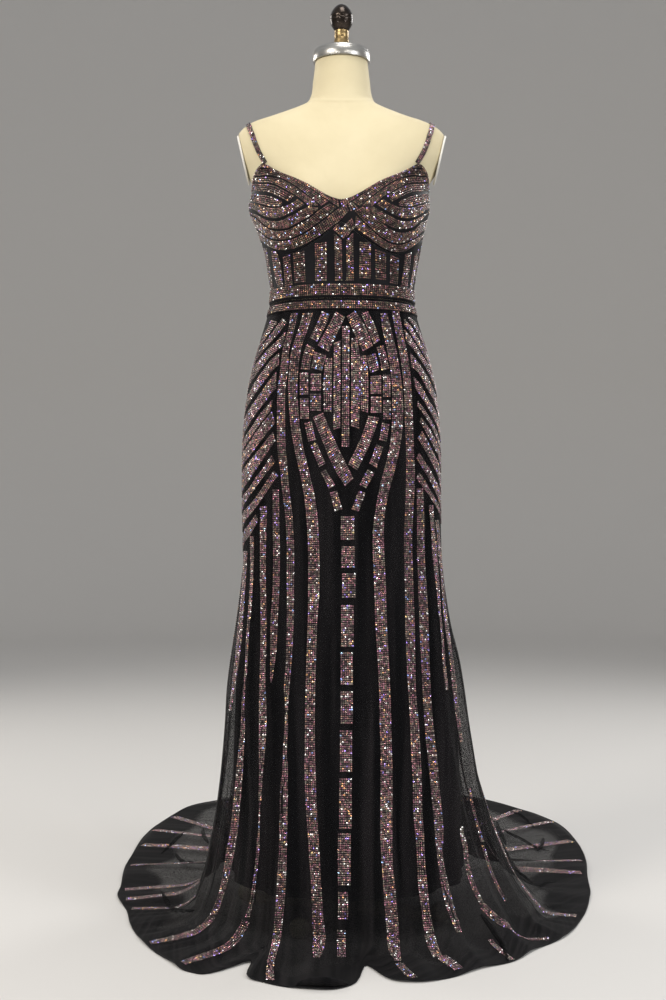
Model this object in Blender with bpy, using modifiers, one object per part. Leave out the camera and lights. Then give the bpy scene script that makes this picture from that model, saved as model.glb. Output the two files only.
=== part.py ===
"""Sequined sheath prom dress on a limbless dress form with its stand.

The front faces -Y, +X is on the right in a front view and +Z is up. The origin is on the floor,
on the axis of the stand's pole. Lengths are in metres. Angles round the body are in degrees,
0 at the front centre, 90 at the right side, -90 at the left side and 180 at the back centre.
"""

import math

import bmesh
import bpy
import numpy as np
from mathutils import Matrix

WALL = 0.0015
BODICE_WALL = 0.002
SEAM_GAP = 0.0003
SEAM_SHARE = 0.55
SEAT_GAP = 0.0003

WAIST_SEAM = 1.190
FORM_BOTTOM = 0.800
FORM_EDGE_SHARE = 0.965
KNEE_FLARE = 0.620
FLOOR_TURN = 0.030
FOLD_END = 0.080
FOLD_LEFT_AT_HEM = 0.2
LANDING_REACH = 0.070
LANDING_SHARE = 0.4

LINING_ROUNDNESS = 2.15
LINING_GAP = 0.0004
LINING_KNEE_GAP = 0.0008

NECK_TOP = 1.671
CAP_HEIGHT = 0.026
POLE_RADIUS = 0.0125
HUB_RADIUS = 0.036
HUB_HEIGHT = 0.110
LEG_TURN = -22.0
LEG_REACH = 0.205
LEG_ROOT_WIDTH = 0.030
LEG_ROOT_HEIGHT = 0.038
LEG_TIP_WIDTH = 0.016
LEG_TIP_HEIGHT = 0.018
LEG_EDGE = 0.004
FOOT_RADIUS = 0.020
FOOT_FLAT = 0.018

STRAP_WIDTH = 0.010
STRAP_THICK = 0.002
STRAP_LIFT = 0.00075
STRAP_STEPS = 22
UPPER_BAND = (1.1935, 1.217)
LOWER_BAND = (1.168, 1.185)
BAND_THICK = 0.0012
BAND_GAP = 0.0005

ARM_PLANE_LOW = (1.4285, 0.1795)
ARM_PLANE_HIGH = (1.531, 0.203)
ARM_PLATE_HEIGHT = 0.098
ARM_PLATE_DEPTH = 0.090
ARM_PLATE_THICK = 0.004
ARM_PLATE_Y = 0.003
ARM_PLATE_EDGE = 0.0012

BUST_X = 0.082
BUST_Z = 1.352
BUST_DEPTH = 0.031
BUST_WIDTH = 0.054
BUST_RISE = 0.064
BUST_DROP = 0.049
BUST_FADE = 0.060

# Outer surface of the cloth, and of the form above it:
# height, left half width, right half width, front depth, back depth, roundness.
SECTIONS = (
    (0.030, 0.283, 0.372, 0.300, 0.580, 2.0),
    (0.060, 0.272, 0.348, 0.292, 0.525, 2.0),
    (0.100, 0.260, 0.325, 0.280, 0.470, 2.0),
    (0.150, 0.250, 0.303, 0.264, 0.415, 2.0),
    (0.200, 0.242, 0.285, 0.247, 0.370, 2.0),
    (0.260, 0.235, 0.268, 0.227, 0.325, 2.05),
    (0.320, 0.230, 0.258, 0.209, 0.287, 2.1),
    (0.380, 0.2265, 0.249, 0.191, 0.255, 2.1),
    (0.440, 0.224, 0.241, 0.175, 0.228, 2.15),
    (0.500, 0.217, 0.231, 0.163, 0.205, 2.2),
    (0.560, 0.208, 0.216, 0.153, 0.186, 2.2),
    (0.620, 0.200, 0.206, 0.146, 0.172, 2.2),
    (0.680, 0.194, 0.199, 0.141, 0.163, 2.2),
    (0.740, 0.194, 0.196, 0.139, 0.160, 2.2),
    (0.800, 0.1953, 0.1953, 0.138, 0.158, 2.2),
    (0.860, 0.1953, 0.1953, 0.137, 0.162, 2.2),
    (0.920, 0.1945, 0.1945, 0.135, 0.164, 2.2),
    (0.980, 0.1900, 0.1905, 0.133, 0.160, 2.2),
    (1.030, 0.1830, 0.1845, 0.131, 0.151, 2.2),
    (1.080, 0.1715, 0.1735, 0.128, 0.139, 2.2),
    (1.130, 0.1575, 0.1595, 0.123, 0.125, 2.2),
    (1.165, 0.1470, 0.1490, 0.118, 0.116, 2.2),
    (1.190, 0.1415, 0.1440, 0.115, 0.112, 2.2),
    (1.220, 0.1405, 0.1435, 0.114, 0.113, 2.2),
    (1.260, 0.1460, 0.1480, 0.116, 0.117, 2.2),
    (1.300, 0.1530, 0.1555, 0.119, 0.122, 2.2),
    (1.340, 0.1670, 0.1640, 0.121, 0.126, 2.2),
    (1.380, 0.1820, 0.1730, 0.122, 0.128, 2.2),
    (1.420, 0.1770, 0.1730, 0.120, 0.127, 2.2),
    (1.450, 0.1930, 0.1910, 0.114, 0.121, 2.1),
    (1.480, 0.2120, 0.2110, 0.105, 0.116, 2.05),
    (1.510, 0.2160, 0.2140, 0.094, 0.108, 2.0),
    (1.531, 0.2070, 0.2040, 0.083, 0.098, 2.0),
    (1.542, 0.1960, 0.1910, 0.076, 0.091, 2.0),
    (1.551, 0.1810, 0.1720, 0.071, 0.085, 2.0),
    (1.560, 0.1530, 0.1430, 0.067, 0.079, 2.0),
    (1.570, 0.1220, 0.1150, 0.064, 0.074, 2.0),
    (1.580, 0.0930, 0.0890, 0.062, 0.069, 2.0),
    (1.589, 0.0735, 0.0720, 0.0605, 0.066, 2.0),
    (1.600, 0.0670, 0.0665, 0.0590, 0.063, 2.0),
    (1.635, 0.0605, 0.0605, 0.0570, 0.059, 2.0),
    (1.671, 0.0560, 0.0560, 0.0560, 0.056, 2.0),
)

# Space between the form and the inside of the cloth's wall: height, space.
CLEARANCES = (
    (0.80, 0.0030),
    (1.03, 0.0025),
    (1.13, 0.0011),
    (1.23, 0.0011),
    (1.30, 0.0030),
    (1.36, 0.0042),
    (1.45, 0.0042),
    (1.68, 0.0025),
)

# Top edge of the bodice, for both sides: angle, height.
NECKLINE = (
    (0, 1.372),
    (5, 1.377),
    (12, 1.388),
    (20, 1.402),
    (28, 1.414),
    (37, 1.427),
    (44, 1.440),
    (48, 1.452),
    (51, 1.452),
    (56, 1.4465),
    (66, 1.435),
    (76, 1.424),
    (90, 1.412),
    (108, 1.401),
    (126, 1.402),
    (140, 1.412),
    (144, 1.412),
    (153, 1.372),
    (166, 1.312),
    (180, 1.262),
)

# Lower edge of the cups: angle, height.
UNDERBUST = (
    (0, 1.331),
    (5, 1.320),
    (12, 1.304),
    (20, 1.292),
    (32, 1.280),
    (44, 1.2765),
    (60, 1.294),
    (80, 1.316),
    (90, 1.321),
)

BODICE_FRONT_ANGLES = (0, 5, 12, 20, 28, 37, 44, 48, 51, 56, 64, 73, 81, 90)
BODICE_BACK_ANGLES = (90, 99, 108, 117, 126, 134, 140, 144, 153, 162, 171, 180)
CUP_ROWS = 5
MIDRIFF_ROWS = 4
BODICE_BACK_ROWS = 7

# Rows of the skirt wall from the waist down, before it turns onto the floor. The cloth has twice
# the columns from KNEE_FLARE down, where the folds are.
SKIRT_HIP_ROWS = (1.1898, 1.165, 1.13, 1.08, 1.03, 0.98, 0.92, 0.86, 0.80, 0.74, 0.68, 0.62)
SKIRT_FLARE_ROWS = (0.54, 0.46, 0.38, 0.30, 0.22, 0.15, 0.09, 0.055, 0.03)
FLOOR_ROWS = 4
HIP_COLUMN = 9.0
FLARE_COLUMN = 4.5

# Reach of the hem on the floor from the pole's axis: angle, reach.
HEM_REACH = (
    (-180, 1.250),
    (-170, 1.215),
    (-163, 1.165),
    (-159, 1.130),
    (-153.5, 1.004),
    (-146, 0.849),
    (-137, 0.707),
    (-126, 0.592),
    (-112, 0.500),
    (-104, 0.473),
    (-90, 0.424),
    (-73.5, 0.414),
    (-54, 0.428),
    (-41.5, 0.449),
    (-33, 0.470),
    (-29, 0.460),
    (-25, 0.375),
    (-20.5, 0.450),
    (-16, 0.467),
    (-7, 0.486),
    (0, 0.478),
    (3, 0.450),
    (6.5, 0.360),
    (10.5, 0.440),
    (15, 0.464),
    (22.5, 0.463),
    (32.5, 0.444),
    (41.5, 0.448),
    (52, 0.436),
    (64, 0.449),
    (84, 0.470),
    (102, 0.520),
    (120, 0.620),
    (138, 0.841),
    (147, 0.993),
    (155, 1.120),
    (161, 1.205),
    (170, 1.255),
    (180, 1.250),
)

# Soft folds of the skirt: angle, half width, depth, height where each one starts.
FOLDS = (
    (-166.5, 11, 0.022, 0.60),
    (-144.0, 11, 0.024, 0.56),
    (-121.5, 10, 0.020, 0.62),
    (-101.0, 9, 0.010, 0.50),
    (-76.5, 10, 0.010, 0.58),
    (-58.5, 9, 0.014, 0.62),
    (-40.5, 9, 0.012, 0.52),
    (-22.5, 9, 0.015, 0.60),
    (-4.5, 9, 0.010, 0.50),
    (13.5, 9, 0.013, 0.58),
    (31.5, 9, 0.014, 0.54),
    (49.5, 9, 0.015, 0.62),
    (67.5, 10, 0.012, 0.50),
    (101.0, 9, 0.012, 0.56),
    (121.5, 10, 0.022, 0.60),
    (144.0, 11, 0.022, 0.58),
    (166.5, 11, 0.020, 0.62),
)

# Outer surface of the lining where it leaves the skirt:
# height, left half width, right half width, front depth, back depth.
LINING_SECTIONS = (
    (0.080, 0.216, 0.243, 0.236, 0.285),
    (0.220, 0.214, 0.238, 0.208, 0.255),
    (0.360, 0.211, 0.230, 0.180, 0.225),
    (0.500, 0.205, 0.219, 0.156, 0.194),
)
LINING_ROWS = (0.79, 0.74, 0.68, 0.62, 0.50, 0.36, 0.22, 0.08)

# Heights of the form's rings: torso, shoulders, neck.
FORM_ROWS = (0.806, 0.86, 0.92, 0.98, 1.03, 1.08, 1.13, 1.165, 1.19, 1.22, 1.25, 1.28, 1.305, 1.33, 1.355)
FORM_ROWS += (1.38, 1.40, 1.42, 1.435, 1.455, 1.475, 1.50, 1.52, 1.535, 1.546, 1.556, 1.566, 1.577)
FORM_ROWS += (1.588, 1.602, 1.635, 1.6706)

# Centre line of a strap over the shoulder: angle, height.
STRAP_PATH = (
    (49.5, 1.4545),
    (50, 1.475),
    (52, 1.497),
    (57, 1.520),
    (68, 1.5385),
    (90, 1.5475),
    (112, 1.5405),
    (124, 1.525),
    (133, 1.490),
    (139, 1.450),
    (142, 1.4145),
)

# Turned profiles, top to bottom: radius, height above the piece's foot.
NECK_CAP_PROFILE = (
    (0, CAP_HEIGHT),
    (0.0400, 0.0257),
    (0.0495, 0.0245),
    (0.0545, 0.0210),
    (0.0560, 0.0160),
    (0.0560, 0),
    (0, 0),
)
COLLAR_PROFILE = (
    (0, 0.0370),
    (0.0125, 0.0370),
    (0.0138, 0.0350),
    (0.0138, 0.0220),
    (0.0150, 0.0140),
    (0.0172, 0.0060),
    (0.0178, 0),
    (0, 0),
)
KNOB_PROFILE = (
    (0, 0.0515),
    (0.0060, 0.0505),
    (0.0125, 0.0460),
    (0.0185, 0.0380),
    (0.0220, 0.0290),
    (0.0228, 0.0205),
    (0.0205, 0.0110),
    (0.0165, 0.0040),
    (0.0138, 0),
    (0, 0),
)
HUB_PROFILE = (
    (0, HUB_HEIGHT),
    (0.0165, HUB_HEIGHT),
    (0.0200, 0.1060),
    (0.0225, 0.0700),
    (0.0300, 0.0520),
    (HUB_RADIUS, 0.0400),
    (HUB_RADIUS, 0),
    (0, 0),
)

TULLE = ("black_tulle", (0.012, 0.012, 0.014), 0.7, 0.0)
STONES = ("stone_trim", (0.10, 0.075, 0.07), 0.3, 0.6)
LINING = ("black_lining", (0.006, 0.006, 0.007), 0.6, 0.0)
COVER = ("form_cover", (0.82, 0.73, 0.48), 0.85, 0.0)
PLATE = ("arm_plate", (0.80, 0.77, 0.68), 0.6, 0.0)
STEEL = ("steel", (0.52, 0.50, 0.47), 0.32, 1.0)
BRASS = ("brass", (0.45, 0.32, 0.15), 0.35, 1.0)
BRONZE = ("dark_bronze", (0.045, 0.035, 0.03), 0.35, 0.8)
PAINT = ("cream_paint", (0.78, 0.72, 0.58), 0.5, 0.0)


def clear_scene():
    for item in list(bpy.data.objects):
        bpy.data.objects.remove(item)


def new_collection(name):
    collection = bpy.data.collections.new(name)
    bpy.context.scene.collection.children.link(collection)
    return collection


def material_of(look):
    name, colour, roughness, metallic = look
    material = bpy.data.materials.get(name)
    if material is None:
        material = bpy.data.materials.new(name)
        material.use_nodes = True
        shader = material.node_tree.nodes["Principled BSDF"]
        shader.inputs["Base Color"].default_value = (*colour, 1)
        shader.inputs["Roughness"].default_value = roughness
        shader.inputs["Metallic"].default_value = metallic
    return material


def smooth(table, column, at):
    """The table's column read at the first column's values, along a smooth curve."""
    knots = np.array([row[0] for row in table], float)
    values = np.array([row[column] for row in table], float)
    slopes = np.gradient(values, knots)
    at = np.clip(np.asarray(at, float), knots[0], knots[-1])
    low = np.clip(np.searchsorted(knots, at) - 1, 0, len(knots) - 2)
    span = knots[low + 1] - knots[low]
    t = (at - knots[low]) / span
    start = (1 + 2 * t) * (1 - t) ** 2 * values[low] + t * (1 - t) ** 2 * span * slopes[low]
    end = t * t * (3 - 2 * t) * values[low + 1] + t * t * (t - 1) * span * slopes[low + 1]
    return start + end


def straight(table, column, at):
    knots = [row[0] for row in table]
    return np.interp(at, knots, [row[column] for row in table])


def oval(angle, left, right, front, back, roundness):
    """A point of a rounded section whose four half axes differ."""
    turn = np.radians(angle)
    across = np.sin(turn)
    ahead = np.cos(turn)
    power = 2 / roundness
    side = np.where(across < 0, left, right)
    depth = np.where(ahead > 0, front, back)
    x = side * np.sign(across) * np.abs(across) ** power
    y = -depth * np.sign(ahead) * np.abs(ahead) ** power
    return x, y


def bust(x, y, height):
    """How far the bust stands forward of the plain section."""
    tall = np.where(height > BUST_Z, BUST_RISE, BUST_DROP)
    upright = np.exp(-(((height - BUST_Z) / tall) ** 2))
    mounds = sum(np.exp(-(((x - side * BUST_X) / BUST_WIDTH) ** 2)) for side in (-1, 1))
    front = np.clip(-y / BUST_FADE, 0, 1)
    return BUST_DEPTH * upright * mounds * front * front * (3 - 2 * front)


def body_point(angle, height, inset=0.0):
    """A point of the body's surface, moved in by inset. Above the waist it has the bust."""
    angle, height = np.broadcast_arrays(np.asarray(angle, float), np.asarray(height, float))
    left, right, front, back = (smooth(SECTIONS, k, height) - inset for k in (1, 2, 3, 4))
    x, y = oval(angle, left, right, front, back, smooth(SECTIONS, 5, height))
    return np.stack([x, y - bust(x, y, height), height], axis=-1)


def arm_plane(height):
    """The flat armhole's distance from the middle."""
    (low, near), (high, far) = ARM_PLANE_LOW, ARM_PLANE_HIGH
    return near + (np.asarray(height) - low) * (far - near) / (high - low)


def form_point(angle, height):
    """A point of the dress form, which has flat armholes."""
    inset = BODICE_WALL + straight(CLEARANCES, 1, height)
    point = body_point(angle, height, inset)
    limit = np.where(np.asarray(height) > ARM_PLANE_LOW[0], arm_plane(height), 1.0)
    point[..., 0] = np.clip(point[..., 0], -limit, limit)
    return point


def unit(vectors):
    return vectors / np.linalg.norm(vectors, axis=-1, keepdims=True)


def normal_at(surface, angle, height):
    """Outward normal of a surface given by angle and height."""
    small_angle, small_height = 0.2, 0.0005
    around = surface(angle + small_angle, height) - surface(angle - small_angle, height)
    up = surface(angle, height + small_height) - surface(angle, height - small_height)
    return unit(np.cross(around, up))


def add_object(collection, name, mesh, look, smooth_angle=40.0):
    mesh.materials.append(material_of(look))
    mesh.shade_smooth()
    mesh.set_sharp_from_angle(angle=math.radians(smooth_angle))
    item = bpy.data.objects.new(name, mesh)
    collection.objects.link(item)
    return item


def join_rows(faces, upper, lower):
    """Faces between two rows of vertex numbers. The lower row may have twice the columns."""
    if len(lower) == len(upper):
        for k in range(len(upper) - 1):
            faces.append((upper[k], lower[k], lower[k + 1], upper[k + 1]))
        return
    for k in range(len(upper) - 1):
        a, b, c = lower[2 * k : 2 * k + 3]
        faces.append((upper[k], a, b))
        faces.append((upper[k], b, upper[k + 1]))
        faces.append((upper[k + 1], b, c))


def wall_mesh(name, outer, inner, hoop=False):
    """A closed wall between two surfaces, each a list of rows of points. A hoop's rows close."""
    points = []
    numbers = []
    for surface in (outer, inner):
        rows = []
        for row in surface:
            row = row[:-1] if hoop else row
            ids = list(range(len(points), len(points) + len(row)))
            points.extend(map(tuple, row))
            rows.append(ids + ids[:1] if hoop else ids)
        numbers.append(rows)
    faces = []
    for rows in numbers:
        for upper, lower in zip(rows, rows[1:]):
            join_rows(faces, upper, lower)
    out, back = numbers
    for row in (0, -1):
        join_rows(faces, out[row], back[row])
    if not hoop:
        for end in (0, -1):
            join_rows(faces, [row[end] for row in out], [row[end] for row in back])
    mesh = bpy.data.meshes.new(name)
    mesh.from_pydata(points, [], faces)
    shape = bmesh.new()
    shape.from_mesh(mesh)
    bmesh.ops.recalc_face_normals(shape, faces=shape.faces)
    shape.to_mesh(mesh)
    shape.free()
    return mesh


def draw_in(rows, ends, edges):
    """Moves the end columns and the first and last rows in by half a seam gap."""
    half = SEAM_SHARE * SEAM_GAP
    rows = [np.array(row, float) for row in rows]
    if ends:
        for row in rows:
            row[0] += half * unit(row[1] - row[0])
            row[-1] += half * unit(row[-2] - row[-1])
    for edge, other in ((0, 1), (-1, -2)):
        if edges[edge]:
            step = len(rows[other]) // len(rows[edge])
            near = rows[other][:: max(step, 1)][: len(rows[edge])]
            rows[edge] = rows[edge] + half * unit(near - rows[edge])
    return rows


def panel(collection, name, rows, normals, wall, look, ends=True, edges=(True, True)):
    """A cloth panel from rows of points of its outer surface and their normals."""
    inner = [row - wall * normal for row, normal in zip(rows, normals)]
    outer = draw_in(rows, ends, edges)
    inner = draw_in(inner, ends, edges)
    mesh = wall_mesh(name, outer, inner, hoop=not ends)
    return add_object(collection, name, mesh, look)


def bodice_rows(angles, top, bottom, count, last=None):
    """Rows of bodice points and normals between two edges, given as heights for the angles."""
    angles = np.asarray(angles, float)
    heights = [top + (bottom - top) * step / count for step in range(count + 1)]
    if last is not None:
        heights.append(np.full(len(angles), last))
    rows = [body_point(angles, height) for height in heights]
    normals = [normal_at(body_point, angles, height) for height in heights]
    return rows, normals


def mirrored(angles):
    """The same angles on the left side, still running to the right."""
    return tuple(-a for a in reversed(angles))


def build_bodice(collection):
    both = mirrored(BODICE_FRONT_ANGLES)[:-1] + BODICE_FRONT_ANGLES
    for side, angles in (("left", mirrored(BODICE_FRONT_ANGLES)), ("right", BODICE_FRONT_ANGLES)):
        top = straight(NECKLINE, 1, np.abs(angles))
        bottom = smooth(UNDERBUST, 1, np.abs(angles))
        rows, normals = bodice_rows(angles, top, bottom, CUP_ROWS)
        panel(collection, f"cup_{side}", rows, normals, BODICE_WALL, TULLE, edges=(False, True))
    top = smooth(UNDERBUST, 1, np.abs(both))
    rows, normals = bodice_rows(both, top, UPPER_BAND[1], MIDRIFF_ROWS, WAIST_SEAM)
    panel(collection, "midriff_front", rows, normals, BODICE_WALL, TULLE)
    for side, angles in (("right", BODICE_BACK_ANGLES), ("left", mirrored(BODICE_BACK_ANGLES))):
        top = straight(NECKLINE, 1, np.abs(angles))
        rows, normals = bodice_rows(angles, top, UPPER_BAND[1], BODICE_BACK_ROWS, WAIST_SEAM)
        name = f"bodice_back_{side}"
        panel(collection, name, rows, normals, BODICE_WALL, TULLE, edges=(False, True))


def waist_band(collection, name, angles, low, high):
    """A stone-set trim band laid round the body on the cloth."""
    angles = np.asarray(angles, float)
    outer, inner = [], []
    for height in (high, low):
        point = body_point(angles, height)
        normal = normal_at(body_point, angles, height)
        inner.append(point + BAND_GAP * normal)
        outer.append(point + (BAND_GAP + BAND_THICK) * normal)
    add_object(collection, name, wall_mesh(name, outer, inner, hoop=True), STONES)


def build_waist_bands(collection):
    right = BODICE_FRONT_ANGLES + BODICE_BACK_ANGLES[1:]
    waist_band(collection, "waistband_upper", mirrored(right)[:-1] + right, *UPPER_BAND)
    waist_band(collection, "waistband_lower", np.arange(-180, 180.1, HIP_COLUMN), *LOWER_BAND)


def build_strap(collection, name, side):
    """A ribbon along the form from the front corner of the bodice to the back corner."""
    at = np.linspace(0, len(STRAP_PATH) - 1, STRAP_STEPS + 1)
    numbered = [(k, *row) for k, row in enumerate(STRAP_PATH)]
    angle = smooth(numbered, 1, at) * side
    height = smooth(numbered, 2, at)

    def shoulder(turn, level):
        return body_point(turn, level, BODICE_WALL + straight(CLEARANCES, 1, level))

    centre = shoulder(angle, height)
    normal = normal_at(shoulder, angle, height)
    along = unit(np.gradient(centre, axis=0))
    across = unit(np.cross(along, normal)) * STRAP_WIDTH / 2
    lift = normal * STRAP_LIFT
    inner = [centre + lift + across, centre + lift - across]
    outer = [row + normal * STRAP_THICK for row in inner]
    add_object(collection, name, wall_mesh(name, outer, inner), STONES)


def fold_lobe(angle, middle, half):
    away = (angle - middle + 180) % 360 - 180
    return np.where(np.abs(away) < half, np.cos(np.pi * away / (2 * half)) ** 2, 0)


def fold_depth(angle, height):
    """How far the folds stand out at a height on the hanging skirt."""
    total = np.zeros_like(angle)
    for middle, half, depth, start in FOLDS:
        grow = np.clip((start - height) / (start - FOLD_END), 0, 1)
        total += depth * grow * grow * (3 - 2 * grow) * fold_lobe(angle, middle, half)
    return total


def grid_normals(grid):
    """Normals of a grid of rows that close round the body."""
    ring = grid[:, :-1]
    around = np.roll(ring, -1, axis=1) - np.roll(ring, 1, axis=1)
    down = np.gradient(ring, axis=0)
    normal = unit(np.cross(down, around))
    return np.concatenate([normal, normal[:, :1]], axis=1)


def skirt_grid():
    """Angles, points and normals of the whole skirt, from the waist to the hem on the floor."""
    angles = np.arange(-180, 180.1, FLARE_COLUMN)
    heights = SKIRT_HIP_ROWS + SKIRT_FLARE_ROWS
    rows = [body_point(angles, height) for height in heights]
    folds = [fold_depth(angles, height) for height in heights]
    foot = rows[-1]
    reach = smooth(HEM_REACH, 1, angles)
    turn = np.radians(angles)
    hem = np.stack([reach * np.sin(turn), -reach * np.cos(turn), 0 * turn], axis=-1)
    way = hem - foot
    way[:, 2] = 0
    length = np.linalg.norm(way, axis=1)
    landing = np.minimum(LANDING_REACH, LANDING_SHARE * length)
    steps = [LANDING_SHARE * landing, landing]
    steps += [landing + (length - landing) * k / FLOOR_ROWS for k in range(1, FLOOR_ROWS + 1)]
    for step in steps:
        point = foot + way * (step / length)[:, None]
        left = np.clip(1 - step / landing, 0, 1)
        point[:, 2] = WALL + (FLOOR_TURN - WALL) * left**2
        beyond = np.clip((step - landing) / (length - landing), 0, 1)
        rows.append(point)
        folds.append(folds[len(heights) - 1] * (1 - (1 - FOLD_LEFT_AT_HEM) * beyond))
    grid = np.array(rows)
    normals = grid_normals(grid)
    normals[-FLOOR_ROWS - 1 :] = (0, 0, 1)
    grid = grid + normals * np.array(folds)[..., None]
    normals = grid_normals(grid)
    return angles, grid, normals


def build_skirt(collection):
    angles, grid, normals = skirt_grid()
    coarse = len(SKIRT_HIP_ROWS)
    for name, start, end in (
        ("skirt_front", -90, 90),
        ("skirt_back_right", 90, 180),
        ("skirt_back_left", -180, -90),
    ):
        columns = np.flatnonzero((angles >= start) & (angles <= end))
        rows = [grid[k, columns[::2] if k < coarse else columns] for k in range(len(grid))]
        outs = [normals[k, columns[::2] if k < coarse else columns] for k in range(len(grid))]
        item = panel(collection, name, rows, outs, WALL, TULLE, edges=(True, False))
        for vertex in item.data.vertices:
            vertex.co.z = max(vertex.co.z, 0.0)


def lining_point(angle, height):
    """The lining lies inside the skirt to the knee and hangs straighter below it."""
    if height > LINING_SECTIONS[-1][0]:
        gap = LINING_GAP if height > KNEE_FLARE else LINING_KNEE_GAP
        return body_point(angle, height, WALL + gap)
    left, right, front, back = (smooth(LINING_SECTIONS, k, height) for k in (1, 2, 3, 4))
    x, y = oval(angle, left, right, front, back, LINING_ROUNDNESS)
    return np.stack([x, y, np.full_like(x, height)], axis=-1)


def build_lining(collection):
    angles = np.arange(-180, 180.1, HIP_COLUMN)
    grid = np.array([lining_point(angles, height) for height in LINING_ROWS])
    normals = grid_normals(grid)
    front = np.flatnonzero(np.abs(angles) <= 90)
    right = np.flatnonzero(angles >= 90)
    left = np.flatnonzero((angles <= -90) & (angles > -180))
    for name, columns in (("lining_front", front), ("lining_back", np.concatenate([right, left]))):
        rows = list(grid[:, columns])
        outs = list(normals[:, columns])
        panel(collection, name, rows, outs, WALL, LINING, edges=(False, False))


def build_form_body(collection):
    """The torso and neck, closed at both ends, with a rounded lower edge."""
    angles = np.arange(-180, 180, HIP_COLUMN)
    rings = [form_point(angles, height) for height in FORM_ROWS]
    lowest = rings[0].copy()
    lowest[:, :2] *= FORM_EDGE_SHARE
    lowest[:, 2] = FORM_BOTTOM
    rings.insert(0, lowest)
    shape = bmesh.new()
    loops = [[shape.verts.new(point) for point in ring] for ring in rings]
    for lower, upper in zip(loops, loops[1:]):
        for k in range(len(lower)):
            after = (k + 1) % len(lower)
            shape.faces.new((lower[k], lower[after], upper[after], upper[k]))
    shape.faces.new(loops[0][::-1])
    shape.faces.new(loops[-1])
    bmesh.ops.recalc_face_normals(shape, faces=shape.faces)
    mesh = bpy.data.meshes.new("form_body")
    shape.to_mesh(mesh)
    shape.free()
    add_object(collection, "form_body", mesh, COVER)


def build_arm_plates(collection):
    """Oval plates on the flat armholes."""
    (low, near), (high, far) = ARM_PLANE_LOW, ARM_PLANE_HIGH
    lean = math.atan2(far - near, high - low)
    middle = 0.5 * (low + high)
    out = ARM_PLATE_THICK / 2 + SEAT_GAP
    for name, side in (("form_arm_plate_left", -1), ("form_arm_plate_right", 1)):
        bpy.ops.mesh.primitive_cylinder_add(vertices=32, radius=0.5, depth=1)
        item = bpy.context.object
        item.name = item.data.name = name
        item.data.transform(Matrix.Diagonal((ARM_PLATE_HEIGHT, ARM_PLATE_DEPTH, ARM_PLATE_THICK, 1)))
        item.rotation_euler = (0, side * (math.radians(90) + lean), 0)
        reach = 0.5 * (near + far) + out * math.cos(lean)
        item.location = (side * reach, ARM_PLATE_Y, middle - out * math.sin(lean))
        finish_primitive(collection, item, PLATE)
        bevel = item.modifiers.new("Edge", "BEVEL")
        bevel.width = ARM_PLATE_EDGE
        bevel.segments = 1
        bevel.limit_method = "ANGLE"


def finish_primitive(collection, item, look):
    """Moves a primitive into the part's collection and gives it its material."""
    for owner in list(item.users_collection):
        owner.objects.unlink(item)
    collection.objects.link(item)
    item.data.materials.append(material_of(look))
    item.data.shade_smooth()
    item.data.set_sharp_from_angle(angle=math.radians(40))


def turned(collection, name, profile, place, look, steps=28):
    """A turned solid: a profile of radius and height, swept by a Screw modifier."""
    mesh = bpy.data.meshes.new(name)
    points = [(radius, 0, height) for radius, height in profile]
    mesh.from_pydata(points, [(k, k + 1) for k in range(len(points) - 1)], [])
    item = bpy.data.objects.new(name, mesh)
    collection.objects.link(item)
    item.location = place
    screw = item.modifiers.new("Turn", "SCREW")
    screw.steps = steps
    screw.render_steps = steps
    screw.use_merge_vertices = True
    screw.merge_threshold = 0.0001
    screw.use_smooth_shade = True
    mesh.materials.append(material_of(look))
    return item


def build_head_fittings(collection):
    """The metal cap on the neck with its collar and knob."""
    cap_foot = NECK_TOP
    collar_foot = cap_foot + CAP_HEIGHT + SEAT_GAP
    knob_foot = collar_foot + COLLAR_PROFILE[0][1] + SEAT_GAP
    turned(collection, "form_neck_cap", NECK_CAP_PROFILE, (0, 0, cap_foot), STEEL, 32)
    turned(collection, "form_collar", COLLAR_PROFILE, (0, 0, collar_foot), BRASS, 20)
    turned(collection, "form_knob", KNOB_PROFILE, (0, 0, knob_foot), BRONZE, 24)


def build_leg(collection, name, turn):
    """A low tapered leg from the hub to its ball foot, flat on the floor."""
    start = HUB_RADIUS + SEAT_GAP
    end = LEG_REACH - FOOT_RADIUS - SEAT_GAP
    bpy.ops.mesh.primitive_cube_add(size=1)
    item = bpy.context.object
    item.name = item.data.name = name
    for vertex in item.data.vertices:
        outer = vertex.co.x > 0
        vertex.co.x = end if outer else start
        vertex.co.y *= LEG_TIP_WIDTH if outer else LEG_ROOT_WIDTH
        top = LEG_TIP_HEIGHT if outer else LEG_ROOT_HEIGHT
        vertex.co.z = top if vertex.co.z > 0 else 0.0
    item.rotation_euler = (0, 0, math.radians(turn))
    finish_primitive(collection, item, PAINT)
    bevel = item.modifiers.new("Edge", "BEVEL")
    bevel.width = LEG_EDGE
    bevel.segments = 1


def build_foot(collection, name, turn):
    """A ball foot with a small flat where it stands."""
    bpy.ops.mesh.primitive_uv_sphere_add(segments=12, ring_count=7, radius=FOOT_RADIUS)
    item = bpy.context.object
    item.name = item.data.name = name
    for vertex in item.data.vertices:
        vertex.co.z = max(vertex.co.z, -FOOT_FLAT)
    away = math.radians(turn)
    item.location = (LEG_REACH * math.cos(away), LEG_REACH * math.sin(away), FOOT_FLAT)
    finish_primitive(collection, item, PAINT)


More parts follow.
